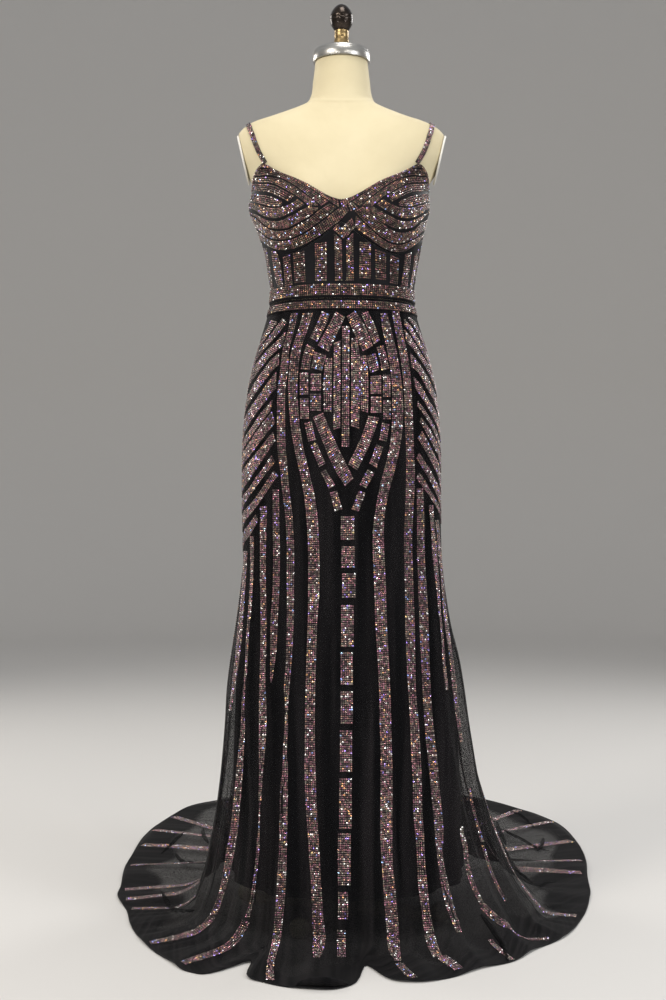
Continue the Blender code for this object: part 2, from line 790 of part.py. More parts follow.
def build_stand(collection):
    turned(collection, "stand_hub", HUB_PROFILE, (0, 0, 0), PAINT, 28)
    low = HUB_HEIGHT + SEAT_GAP
    high = FORM_BOTTOM - SEAT_GAP
    bpy.ops.mesh.primitive_cylinder_add(vertices=20, radius=POLE_RADIUS, depth=high - low)
    pole = bpy.context.object
    pole.name = pole.data.name = "stand_pole"
    pole.location = (0, 0, 0.5 * (low + high))
    finish_primitive(collection, pole, STEEL)
    for k in range(4):
        turn = LEG_TURN + 90 * k
        build_leg(collection, f"stand_leg_{k + 1}", turn)
        build_foot(collection, f"stand_foot_{k + 1}", turn)


def main():
    clear_scene()
    dress = new_collection("sequined_sheath_dress")
    build_form_body(dress)
    build_arm_plates(dress)
    build_head_fittings(dress)
    build_stand(dress)
    build_bodice(dress)
    build_waist_bands(dress)
    build_strap(dress, "strap_left", -1)
    build_strap(dress, "strap_right", 1)
    build_skirt(dress)
    build_lining(dress)


main()
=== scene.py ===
import math

import bmesh
import bpy
import numpy as np
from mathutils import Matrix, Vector
from mathutils.bvhtree import BVHTree


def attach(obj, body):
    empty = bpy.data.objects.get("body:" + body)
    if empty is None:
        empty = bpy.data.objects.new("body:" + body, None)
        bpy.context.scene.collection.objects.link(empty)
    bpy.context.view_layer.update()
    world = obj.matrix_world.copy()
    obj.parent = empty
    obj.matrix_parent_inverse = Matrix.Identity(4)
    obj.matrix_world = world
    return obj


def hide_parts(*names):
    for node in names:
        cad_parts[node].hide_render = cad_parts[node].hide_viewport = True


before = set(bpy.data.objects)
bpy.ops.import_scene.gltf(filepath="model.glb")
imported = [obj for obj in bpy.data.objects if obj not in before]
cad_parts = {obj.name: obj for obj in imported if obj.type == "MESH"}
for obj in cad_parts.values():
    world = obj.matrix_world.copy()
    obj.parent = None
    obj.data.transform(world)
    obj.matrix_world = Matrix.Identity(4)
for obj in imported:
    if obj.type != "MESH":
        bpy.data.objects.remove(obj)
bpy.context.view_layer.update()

DICE = np.random.default_rng(1914)

# Lengths are in metres. Angles are in degrees round the form's axis, 0 at the front and 90 at +X.

# The photograph's view: its size, its pixel scale, the column of the form's axis, the row of the
# horizon, and the camera's distance from the axis and height.
IMAGE_WIDTH = 666
IMAGE_HEIGHT = 1000
FOCAL_PIXELS = 1420.0
AXIS_COLUMN = 341.5
HORIZON_ROW = 530.0
EYE_DISTANCE = 2.80
EYE_HEIGHT = 0.75
SENSOR = 36.0

# The form: its foot, its neck, the seams sunk in its cover, the flat sides at the arm plates (height,
# half width) and the bust.
FORM_BOTTOM = 0.800
NECK_TOP = 1.671
NECK_SEAM = 1.592
NECK_SEAM_DIP = 0.012
NECK_SEAM_DEPTH = 0.0010
COVER_SEAMS = (0, -90, 90, 180)
COVER_SEAM_DEPTH = 0.0007
COVER_SEAM_WIDTH = 0.0022
ARM_PLANE_LOW = (1.4285, 0.1795)
ARM_PLANE_HIGH = (1.531, 0.203)
BUST_X = 0.082
BUST_Z = 1.352
BUST_DEPTH = 0.031
BUST_WIDTH = 0.054
BUST_RISE = 0.064
BUST_DROP = 0.049
BUST_FRONT = 0.06
COVER_COLUMN = 2.0
COVER_TUCK = 0.965
COVER_TUCK_HEIGHT = 0.006
TOP_ROUNDING = 0.0006

# The neck's fittings: heights, the gap between them, feet, the steps in each span of a rounded
# profile, and the angle from which an edge is sharp.
CAP_HEIGHT = 0.026
COLLAR_HEIGHT = 0.037
FITTING_GAP = 0.0003
CAP_FOOT = NECK_TOP
COLLAR_FOOT = CAP_FOOT + CAP_HEIGHT + FITTING_GAP
KNOB_FOOT = COLLAR_FOOT + COLLAR_HEIGHT + FITTING_GAP
ARC_STEPS = 4
SHARP_EDGE = 50

# The cloth: its walls and thicknesses, its seams, the waist trims and the straps.
WALL = 0.0015
BODICE_WALL = 0.002
LINING_THICKNESS = 0.0006
BODICE_THICKNESS = 0.0016
STRAP_THICKNESS = 0.001
STRIP_THICKNESS = 0.0006
SIDE_SEAM = 90.0
WAIST_SEAM = 1.190
SEAM_GAP = 0.0003
PANEL_COLUMN = 1.25
UPPER_BAND = (1.1935, 1.217)
LOWER_BAND = (1.168, 1.185)
BAND_PROUD = 0.0010
BAND_MARGIN = 0.0008
BAND_COLUMN = 2.0
BAND_ROWS = 4
STRAP_WIDTH = 0.010
STRAP_PROUD = 0.0018
STRAP_POINTS = 90
RIBBON_SHARES = (1, 0.33, -0.33, -1)
STRAP_STONE_ROWS = (-0.66, 0, 0.66)

# The skirt's grid, which hangs, turns, lands and then lies on the floor.
SKIRT_COLUMN = 1.0
HANG_ROWS = 80
TURN_ROWS = 6
LANDING_ROWS = 7
FLOOR_ROWS = 32
HANG_FOOT = 0.09
TURN_TOP = 0.08
FLOOR_TURN = 0.030
LANDING = 0.07
LANDING_SHARE = 0.4
FOLD_FOOT = 0.08
FLOOR_FOLD_LOSS = 0.8
FLOOR_CLEARANCE = 0.0012

# The lining: where it leaves the mesh and where it hangs free, its foot, its place inside the mesh, how
# it sways in below, and its ripples (depth, how many go round, shift).
LINING_COLUMN = 2.5
LINING_ROWS = 60
LINING_BLEND = 0.62
LINING_KNEE = 0.50
LINING_FOOT = 0.08
LINING_INSET = WALL + 0.0009
LINING_ROUNDNESS = 2.15
SWAY_TOP = 0.5
SWAY_SPAN = 0.42
SWAY_IN = 0.004
LINING_RIPPLES = ((0.006, 11, 1.3), (0.003, 19, 0))

# Where the net lies double, with the waves of that border (share of its depth, how many go round,
# shift), its pinched folds, the curled front edge of the hem, and the hem's cord.
HEM_BORDER = 0.085
BORDER_FADE = 0.012
BORDER_WAVES = ((0.28, 7, 0.6), (0.2, 19, 2.0))
FRONT_DOUBLE = 0.82
FRONT_EDGE = 88.0
FRONT_FADE = 22.0
FRONT_WAVE = 5
FRONT_WAVES = 60
FRONT_TOP = 0.17
FRONT_TOP_FADE = 0.08
PINCH_WIDTH = 0.012
PINCH_HEIGHT = 0.004
PINCH_LONGEST = 0.32
PINCH_DOUBLE = 0.25
ROLL_ANGLES = (-9.0, 1.5)
ROLL_COLUMN = 0.4
ROLL_RADIUS = 0.008
ROLL_CURL = 290.0
ROLL_ROWS = 12
HEM_CORD_RADIUS = 0.0011
HEM_CORD_SIDES = 6
HEM_CORD_LOWEST = 0.0003
EASING_ROUNDS = 100

# Stones: their places in a band, their size and shape and how far these vary, what is added before
# the count of stones in a row is cut to a whole number, and how many stones one mesh holds.
STONE_ROW = 0.0041
STONE_STEP = 0.0036
STONE_SIZE = 0.0031
STONE_GAP = 0.0004
STONE_LIFT = 0.0002
STONE_TILT = 0.10
STONE_TABLE = 0.78
STONE_SIZES = (0.92, 1.06)
STONE_HEIGHTS = (0.5, 0.7)
STONE_BRIGHTNESS = (0.45, 1.55)
ROUND_UP = 0.45
STONES_IN_MESH = 18000

# Bands: the widest, upright bars, the height below which a ray that misses is aimed at the floor, the
# last angle that the photograph shows, how a line goes on from there (the span that gives its slope,
# the slopes it may have, how soon they ease off, its steps), and the back bands on the skirt (where
# they start to fan out, where they end before the hem, the spacing of their points).
BAND_WIDEST = 0.024
BAR_WIDTH = 0.016
BAR_FOOT = 1.235
BAR_POINTS = 12
SIDE_BAR = 86.0
SIDE_BAR_TOP = 1.30
LOW_AIM = 0.03
LAST_SEEN = 78.0
SLOPE_SPAN = 25
SLOPE_LIMITS = (-0.004, 0.003)
SLOPE_EASE = 45
ROUND_STEP = 3
SPREAD_START = 0.80
HEM_MARGIN = 0.012
PATH_SPACING = 0.01

# The back of the bodice: two bands along its neckline, and its bars.
BACK_EDGE_DROPS = (0.010, 0.032)
BACK_EDGE_FOOT = WAIST_SEAM + 0.04
BACK_BARS = (97, 109, 121, 133, 145, 157, 168)
BACK_BAR_DROP = 0.055
BACK_BAR_LEAST = 1.25

# Smoky crystals in silver, rose, brown, green and gold, the plain kinds, and then sparks of white, violet,
# blue and orange, stones tinted far brighter than the rest as painted glints: share, tint. The plain kinds
# are shaded on the skirt and on the bodice.
STONE_KINDS = (
    (0.20, (0.220, 0.190, 0.162)),
    (0.14, (0.270, 0.132, 0.184)),
    (0.25, (0.070, 0.047, 0.053)),
    (0.16, (0.270, 0.145, 0.162)),
    (0.07, (0.168, 0.180, 0.142)),
    (0.07, (0.365, 0.232, 0.178)),
    (0.045, (0.95, 0.88, 0.86)),
    (0.022, (0.45, 0.32, 0.90)),
    (0.008, (0.35, 0.48, 0.92)),
    (0.020, (0.95, 0.52, 0.26)),
)
PLAIN_KINDS = 6
SKIRT_SHADE = (0.95, 0.87, 0.86)
BODICE_SHADE = (0.60, 0.51, 0.42)

# Rows of the form's grid, closer together where it curves more: lowest, highest, how many.
FORM_ROWS = (
    (FORM_BOTTOM + COVER_TUCK_HEIGHT, 1.36, 40),
    (1.366, 1.53, 34),
    (1.532, 1.60, 36),
    (1.603, NECK_TOP - TOP_ROUNDING, 18),
)

# Outer surface of the cloth, and of the form above it:
# height, left half width, right half width, front depth, back depth, roundness.
SECTIONS = (
    (0.030, 0.283, 0.372, 0.300, 0.580, 2.0),
    (0.060, 0.272, 0.348, 0.292, 0.525, 2.0),
    (0.100, 0.260, 0.325, 0.280, 0.470, 2.0),
    (0.150, 0.250, 0.303, 0.264, 0.415, 2.0),
    (0.200, 0.242, 0.285, 0.247, 0.370, 2.0),
    (0.260, 0.235, 0.268, 0.227, 0.325, 2.05),
    (0.320, 0.230, 0.258, 0.209, 0.287, 2.1),
    (0.380, 0.2265, 0.249, 0.191, 0.255, 2.1),
    (0.440, 0.224, 0.241, 0.175, 0.228, 2.15),
    (0.500, 0.217, 0.231, 0.163, 0.205, 2.2),
    (0.560, 0.208, 0.216, 0.153, 0.186, 2.2),
    (0.620, 0.200, 0.206, 0.146, 0.172, 2.2),
    (0.680, 0.194, 0.199, 0.141, 0.163, 2.2),
    (0.740, 0.194, 0.196, 0.139, 0.160, 2.2),
    (0.800, 0.1953, 0.1953, 0.138, 0.158, 2.2),
    (0.860, 0.1953, 0.1953, 0.137, 0.162, 2.2),
    (0.920, 0.1945, 0.1945, 0.135, 0.164, 2.2),
    (0.980, 0.1900, 0.1905, 0.133, 0.160, 2.2),
    (1.030, 0.1830, 0.1845, 0.131, 0.151, 2.2),
    (1.080, 0.1715, 0.1735, 0.128, 0.139, 2.2),
    (1.130, 0.1575, 0.1595, 0.123, 0.125, 2.2),
    (1.165, 0.1470, 0.1490, 0.118, 0.116, 2.2),
    (1.190, 0.1415, 0.1440, 0.115, 0.112, 2.2),
    (1.220, 0.1405, 0.1435, 0.114, 0.113, 2.2),
    (1.260, 0.1460, 0.1480, 0.116, 0.117, 2.2),
    (1.300, 0.1530, 0.1555, 0.119, 0.122, 2.2),
    (1.340, 0.1670, 0.1640, 0.121, 0.126, 2.2),
    (1.380, 0.1820, 0.1730, 0.122, 0.128, 2.2),
    (1.420, 0.1770, 0.1730, 0.120, 0.127, 2.2),
    (1.450, 0.1930, 0.1910, 0.114, 0.121, 2.1),
    (1.480, 0.2120, 0.2110, 0.105, 0.116, 2.05),
    (1.510, 0.2160, 0.2140, 0.094, 0.108, 2.0),
    (1.531, 0.2070, 0.2040, 0.083, 0.098, 2.0),
    (1.542, 0.1960, 0.1910, 0.076, 0.091, 2.0),
    (1.551, 0.1810, 0.1720, 0.071, 0.085, 2.0),
    (1.560, 0.1530, 0.1430, 0.067, 0.079, 2.0),
    (1.570, 0.1220, 0.1150, 0.064, 0.074, 2.0),
    (1.580, 0.0930, 0.0890, 0.062, 0.069, 2.0),
    (1.589, 0.0735, 0.0720, 0.0605, 0.066, 2.0),
    (1.600, 0.0670, 0.0665, 0.0590, 0.063, 2.0),
    (1.635, 0.0605, 0.0605, 0.0570, 0.059, 2.0),
    (1.671, 0.0560, 0.0560, 0.0560, 0.056, 2.0),
)

# Space between the form and the inside of the cloth's wall: height, space.
CLEARANCES = (
    (0.80, 0.0030),
    (1.03, 0.0025),
    (1.13, 0.0011),
    (1.23, 0.0011),
    (1.30, 0.0030),
    (1.36, 0.0042),
    (1.45, 0.0042),
    (1.68, 0.0025),
)

# Top edge of the bodice, for both sides: angle, height.
NECKLINE = (
    (0, 1.372),
    (5, 1.377),
    (12, 1.388),
    (20, 1.402),
    (28, 1.414),
    (37, 1.427),
    (44, 1.440),
    (48, 1.452),
    (51, 1.452),
    (56, 1.4465),
    (66, 1.435),
    (76, 1.424),
    (90, 1.412),
    (108, 1.401),
    (126, 1.402),
    (140, 1.412),
    (144, 1.412),
    (153, 1.372),
    (166, 1.312),
    (180, 1.262),
)

# Lower edge of the cups: angle, height.
UNDERBUST = (
    (0, 1.331),
    (5, 1.320),
    (12, 1.304),
    (20, 1.292),
    (32, 1.280),
    (44, 1.2765),
    (60, 1.294),
    (80, 1.316),
    (90, 1.321),
)

# Reach of the hem on the floor from the pole's axis: angle, reach.
HEM_REACH = (
    (-180, 1.250),
    (-170, 1.215),
    (-163, 1.165),
    (-159, 1.130),
    (-153.5, 1.004),
    (-146, 0.849),
    (-137, 0.707),
    (-126, 0.592),
    (-112, 0.500),
    (-104, 0.473),
    (-90, 0.424),
    (-73.5, 0.414),
    (-54, 0.428),
    (-41.5, 0.449),
    (-33, 0.470),
    (-29, 0.460),
    (-25, 0.375),
    (-20.5, 0.450),
    (-16, 0.467),
    (-7, 0.486),
    (0, 0.478),
    (3, 0.450),
    (6.5, 0.360),
    (10.5, 0.440),
    (15, 0.464),
    (22.5, 0.463),
    (32.5, 0.444),
    (41.5, 0.448),
    (52, 0.436),
    (64, 0.449),
    (84, 0.470),
    (102, 0.520),
    (120, 0.620),
    (138, 0.841),
    (147, 0.993),
    (155, 1.120),
    (161, 1.205),
    (170, 1.255),
    (180, 1.250),
)

# Soft folds of the skirt: angle, half width, depth, height where each one starts.
FOLDS = (
    (-166.5, 11, 0.022, 0.60),
    (-144.0, 11, 0.024, 0.56),
    (-121.5, 10, 0.020, 0.62),
    (-101.0, 9, 0.010, 0.50),
    (-76.5, 10, 0.010, 0.58),
    (-58.5, 9, 0.014, 0.62),
    (-40.5, 9, 0.012, 0.52),
    (-22.5, 9, 0.015, 0.60),
    (-4.5, 9, 0.010, 0.50),
    (13.5, 9, 0.013, 0.58),
    (31.5, 9, 0.014, 0.54),
    (49.5, 9, 0.015, 0.62),
    (67.5, 10, 0.012, 0.50),
    (101.0, 9, 0.012, 0.56),
    (121.5, 10, 0.022, 0.60),
    (144.0, 11, 0.022, 0.58),
    (166.5, 11, 0.020, 0.62),
)

# Fine creases between them: angle, half width, depth, height where each one starts.
CREASES = tuple(
    (
        -177 + 7.3 * k + 2.1 * math.sin(2.3 * k),
        2.6 + 0.9 * math.sin(1.7 * k),
        0.0035 + 0.0015 * math.sin(3.1 * k),
        0.74 + 0.07 * math.sin(1.3 * k),
    )
    for k in range(49)
)

# Outer surface of the lining below the knee:
# height, left half width, right half width, front depth, back depth.
LINING_SECTIONS = (
    (0.080, 0.216, 0.243, 0.236, 0.285),
    (0.220, 0.214, 0.238, 0.208, 0.255),
    (0.360, 0.211, 0.230, 0.180, 0.225),
    (0.500, 0.205, 0.219, 0.156, 0.194),
)

# Centre line of a strap over the shoulder: angle, height.
STRAP_PATH = (
    (49.5, 1.4545),
    (50, 1.475),
    (52, 1.497),
    (57, 1.520),
    (68, 1.5385),
    (90, 1.5475),
    (112, 1.5405),
    (124, 1.525),
    (133, 1.490),
    (139, 1.450),
    (142, 1.4145),
)

# Stone bands read from the photograph, in its pixels. Each row of a long band: pixel row, left edge,
# right edge.
LONG_BANDS = (
    ((313, 303, 313), (330, 298, 307.5), (350, 291.5, 301), (370, 289, 298.5), (390, 288, 297.5),
     (410, 289, 298.5), (430, 291, 300.5), (450, 294.5, 304), (470, 299, 309), (490, 303, 313.5),
     (510, 305.5, 317), (540, 307.5, 319), (590, 308, 319.5), (620, 307.5, 317.5),
     (650, 306.5, 316.5), (680, 305.5, 315.5), (710, 305, 315), (770, 304.5, 315.5),
     (800, 305.5, 316.5), (830, 307.5, 318), (860, 309, 320), (890, 310.5, 321.5), (920, 311, 323.5),
     (945, 312, 325), (958, 313, 320)),
    ((313, 291, 298), (330, 288, 294.5), (350, 282.5, 289.5), (370, 280, 288), (390, 277.5, 285.5),
     (420, 277, 285.3), (450, 277.5, 286), (470, 280, 287.7), (490, 282, 289.5), (510, 284.5, 292),
     (540, 286.5, 294), (570, 286.5, 294.5), (600, 286.8, 294), (630, 286.5, 293.5), (660, 286, 292),
     (690, 284, 289.5), (705, 285, 288.2), (730, 284.5, 288), (750, 283, 287), (770, 282.5, 288),
     (790, 280.5, 288), (820, 280, 287.5), (850, 279, 287), (880, 277, 286), (910, 275, 284),
     (940, 272, 280.5), (965, 266.5, 274.5), (980, 265.6, 274.5)),
    ((489, 272.5, 279), (520, 272.5, 279.5), (550, 273, 280), (590, 272.5, 279.5), (620, 270.5, 278),
     (650, 270.3, 276.5), (670, 270, 274), (683, 270, 272)),
    ((506, 260, 267), (530, 260, 266.5), (560, 260, 266), (640, 260.5, 266.5), (680, 259.5, 265.5),
     (710, 259, 266.5), (740, 259, 266), (770, 259, 263.5), (800, 258.5, 261.5), (830, 257.5, 260.5),
     (860, 255.5, 258.7), (890, 251.5, 255.5), (905, 248.5, 253.3), (918, 244.5, 250)),
    ((536, 250, 254), (570, 250.5, 253.5), (600, 249, 252), (640, 246, 248.7), (670, 245, 247.2),
     (700, 242, 244.5), (730, 240.5, 245), (750, 238.5, 244), (770, 236.5, 243), (790, 234.5, 242),
     (810, 232.5, 240), (830, 230.5, 238.5), (850, 226.5, 235), (870, 223.5, 230.5),
     (890, 219.5, 225.5), (905, 214.5, 221), (915, 209.5, 217)),
    ((551, 242.5, 247.5), (580, 241, 246), (610, 238.5, 244), (640, 236.5, 241.5),
     (660, 234.5, 239.5), (675, 233, 237), (690, 231.5, 234.5), (711, 229, 231.5)),
    ((313, 380.5, 387), (330, 382.5, 391.5), (350, 387, 396.5), (370, 390.5, 400), (390, 392, 402.5),
     (410, 392, 403.3), (430, 391.5, 402.5), (450, 389, 399.5), (470, 384, 395), (490, 379, 389.5),
     (510, 375.5, 385.5), (530, 373, 384), (550, 372.5, 384.5), (570, 373.5, 385.5),
     (600, 374.5, 386.5), (630, 375.5, 387.5), (660, 377.5, 389), (690, 379, 390.5),
     (720, 379.5, 391.5), (750, 380.5, 392), (780, 380.5, 393), (810, 380.5, 392.5),
     (840, 380.5, 392.5), (870, 382, 393.5), (900, 384, 397), (930, 386.5, 399), (950, 388.5, 400.5),
     (961, 395, 401.5)),
    ((311, 391.5, 399), (330, 395, 402.5), (350, 399, 406.5), (370, 402, 410), (390, 404, 411.5),
     (420, 404.8, 413), (450, 406, 414), (480, 406, 415), (510, 405, 413.5), (540, 404, 412.3),
     (570, 404.5, 413), (600, 405, 414), (630, 405.5, 415), (660, 406.5, 415.5), (690, 408, 416),
     (720, 410, 418.5), (750, 411, 420.5), (780, 412.5, 422), (810, 413, 422.5), (840, 415.5, 424.5),
     (870, 417, 426), (890, 418.5, 428), (910, 421, 430), (930, 424, 434), (945, 427, 438),
     (957, 433, 443)),
    ((488, 416.5, 423), (510, 417, 424), (550, 417, 424.5), (580, 418, 426), (610, 419, 428),
     (640, 420, 429), (670, 421.5, 430), (700, 423, 431.5), (730, 425, 434), (760, 428, 437.5),
     (790, 431, 440), (820, 434, 443), (850, 436.5, 445.5), (880, 440.5, 448.5), (900, 444.5, 452.5),
     (920, 451, 458), (933, 457, 462)),
    ((505, 428.5, 433), (530, 431, 434.5), (550, 432, 437), (570, 434, 438), (590, 436.5, 439.5),
     (610, 438.2, 440.7), (630, 440.5, 443), (650, 441.7, 444.5), (670, 443.5, 446), (690, 446, 448.3)),
    ((826, 460, 463), (835, 460, 464.5), (845, 462.5, 467.5), (860, 464.5, 469), (875, 467, 472.5),
     (890, 472.5, 478), (905, 480, 485)),
    ((520, 435, 438.3), (540, 437, 440), (560, 439, 442.5), (590, 441.5, 444.3), (620, 444, 447.5),
     (640, 447, 450.5), (660, 449.5, 453), (690, 452.5, 457), (710, 455, 459), (730, 458, 461.5),
     (742, 460.5, 463)),
    ((788, 468, 470.6), (805, 471, 474), (817, 474, 477), (830, 477.5, 480.5), (842, 480.5, 484.5)),
)

# Where the long bands run on over the floor: width in metres, points of the centre line.
BAND_TAILS = (
    (0.016, (246, 921), (243, 932), (238, 941), (229, 948), (215, 953), (200, 958), (183, 963)),
    (0.015, (213.2, 915.5), (205, 927), (193, 933), (175, 939), (150, 943)),
    (0.016, (399, 963), (404, 970), (409, 975), (414, 978)),
    (0.018, (442, 957), (450, 963), (459, 969)),
    (0.015, (483, 906), (493, 921), (509, 931), (527, 937), (549, 939)),
    (0.009, (483, 845), (486, 860), (494, 883), (506, 901)),
    (0.010, (490, 939), (501, 950), (512, 960)),
)

# Pinched folds of the sheer hem, read from the photograph: points of each line.
PINCHES = (
    ((217, 825.5), (208.8, 827), (203, 828), (199, 831), (196, 835), (189.5, 840), (183, 841)),
    ((203, 828), (203, 835), (205, 840), (208.8, 843.8)),
    ((200, 818), (205, 825), (211, 834), (213, 843)),
    ((161, 854), (169, 846), (177.5, 840), (184, 832)),
    ((175.5, 853), (179, 859), (185, 862.5), (195, 863)),
    ((160, 890), (164, 900), (172.5, 907.5), (185, 915), (195, 910)),
    ((496, 816), (498, 828), (502, 838), (508, 850), (512, 855)),
    ((498, 827), (507, 834.5), (520, 838), (526, 841), (538, 850), (549, 851)),
    ((543.5, 838), (542, 846), (537, 851)),
    ((507, 811), (520, 813.5), (530.5, 822.6), (534.5, 828)),
    ((514, 868), (524, 880), (540, 884), (556, 882)),
    ((480, 914), (496, 930), (506, 945), (508, 962)),
)

# Blocks of the hip motif: points of the left edge, points of the right edge.
HIP_BLOCKS = (
    (((336, 311), (327, 328), (317.5, 345.5)), ((345, 317), (337, 334), (328.5, 352))),
    (((322, 311), (316, 325), (309.5, 337.5)), ((330, 314.5), (324, 329), (317, 342))),
    (((306.5, 344), (302.5, 357), (300.5, 369.5)), ((315, 348), (311.5, 358), (309.8, 370))),
    (((314, 351), (311, 368)), ((326.5, 355.5), (322, 371))),
    (((310.5, 373.5), (310.5, 391)), ((321, 373.5), (321, 391))),
    (((310, 393.5), (310, 411)), ((320.8, 393.5), (320.8, 411))),
    (((299.7, 372.5), (299.7, 395)), ((308.3, 372.5), (308.3, 395))),
    (((300, 398), (300.3, 419)), ((308.5, 398), (309, 419))),
    (((326, 358), (323.8, 372), (323.5, 412)), ((332.5, 358), (332, 372), (331.7, 412))),
    (((333.8, 343), (333.3, 430)), ((340.6, 340), (340.3, 428))),
    (((342, 326), (341.6, 447)), ((349.7, 326), (349.3, 447))),
    (((351.2, 338), (351, 426)), ((357, 337), (359.2, 349), (359.2, 429))),
    (((360.6, 356), (360.6, 411)), ((366, 355), (368, 370), (368.3, 413))),
    (((346.5, 316), (354, 333), (363, 351.5)), ((355.5, 310.5), (366, 328), (373.2, 346))),
    (((361, 314), (367.5, 329), (374, 344.5)), ((368, 310.8), (375, 325), (380, 340))),
    (((366, 356), (369, 368), (370.3, 373.5)), ((375.5, 353), (378, 362), (379.5, 370))),
    (((376.2, 347), (379.5, 358), (381.5, 371)), ((383.2, 345), (387, 357), (389.5, 368.5))),
    (((370.5, 376), (370.5, 394)), ((381.4, 375), (381.4, 394))),
    (((370.8, 396.5), (370.8, 413)), ((381.6, 396.5), (381.6, 413))),
    (((382.9, 374.5), (382.9, 397)), ((390.7, 374), (390.7, 397))),
    (((383.2, 400), (383.2, 419.5)), ((391, 400), (391, 419.5))),
    (((312.5, 417), (321, 438), (331, 462), (339, 477), (345, 486.5)),
     ((323, 412.5), (332, 434), (342, 455), (353.5, 478.5))),
    (((368.5, 415.5), (360, 440), (348, 464.5)), ((379.5, 417.5), (371, 442), (357, 470.5))),
    (((304.2, 423), (308.2, 442)), ((311.8, 421), (315.8, 440))),
    (((310.3, 445), (319, 467.5)), ((316.5, 442.3), (325.7, 464))),
    (((320.3, 472), (329, 489)), ((325.7, 469), (335.2, 485))),
    (((329.8, 492.5), (334.5, 511.5)), ((337, 490), (342.6, 509.5))),
    (((382, 422.3), (379.2, 440)), ((389.7, 424), (386.8, 442))),
    (((376.2, 444.3), (369.2, 463.5)), ((383.6, 446.8), (376.8, 468))),
    (((367.6, 469), (359.3, 485)), ((375.2, 472.7), (366, 488.6))),
    (((358.8, 490.8), (351.3, 509.5)), ((365.7, 492.3), (358.8, 511.7))),
)

# Blocks down the centre of the skirt: top row, bottom row, left edge, right edge.
CENTRE_BLOCKS = (
    (516, 540, 340.7, 354.3),
    (546, 568, 341.3, 354.8),
    (573, 598, 342, 355.8),
    (605, 647, 341, 353.8),
    (652, 685, 340.4, 353),
    (691, 724, 340.4, 353),
    (730, 772, 339.7, 352.4),
    (778, 829, 339.2, 352),
    (833, 886, 337.8, 351),
    (892, 920, 338, 348.6),
    (930, 957, 337, 346),
)

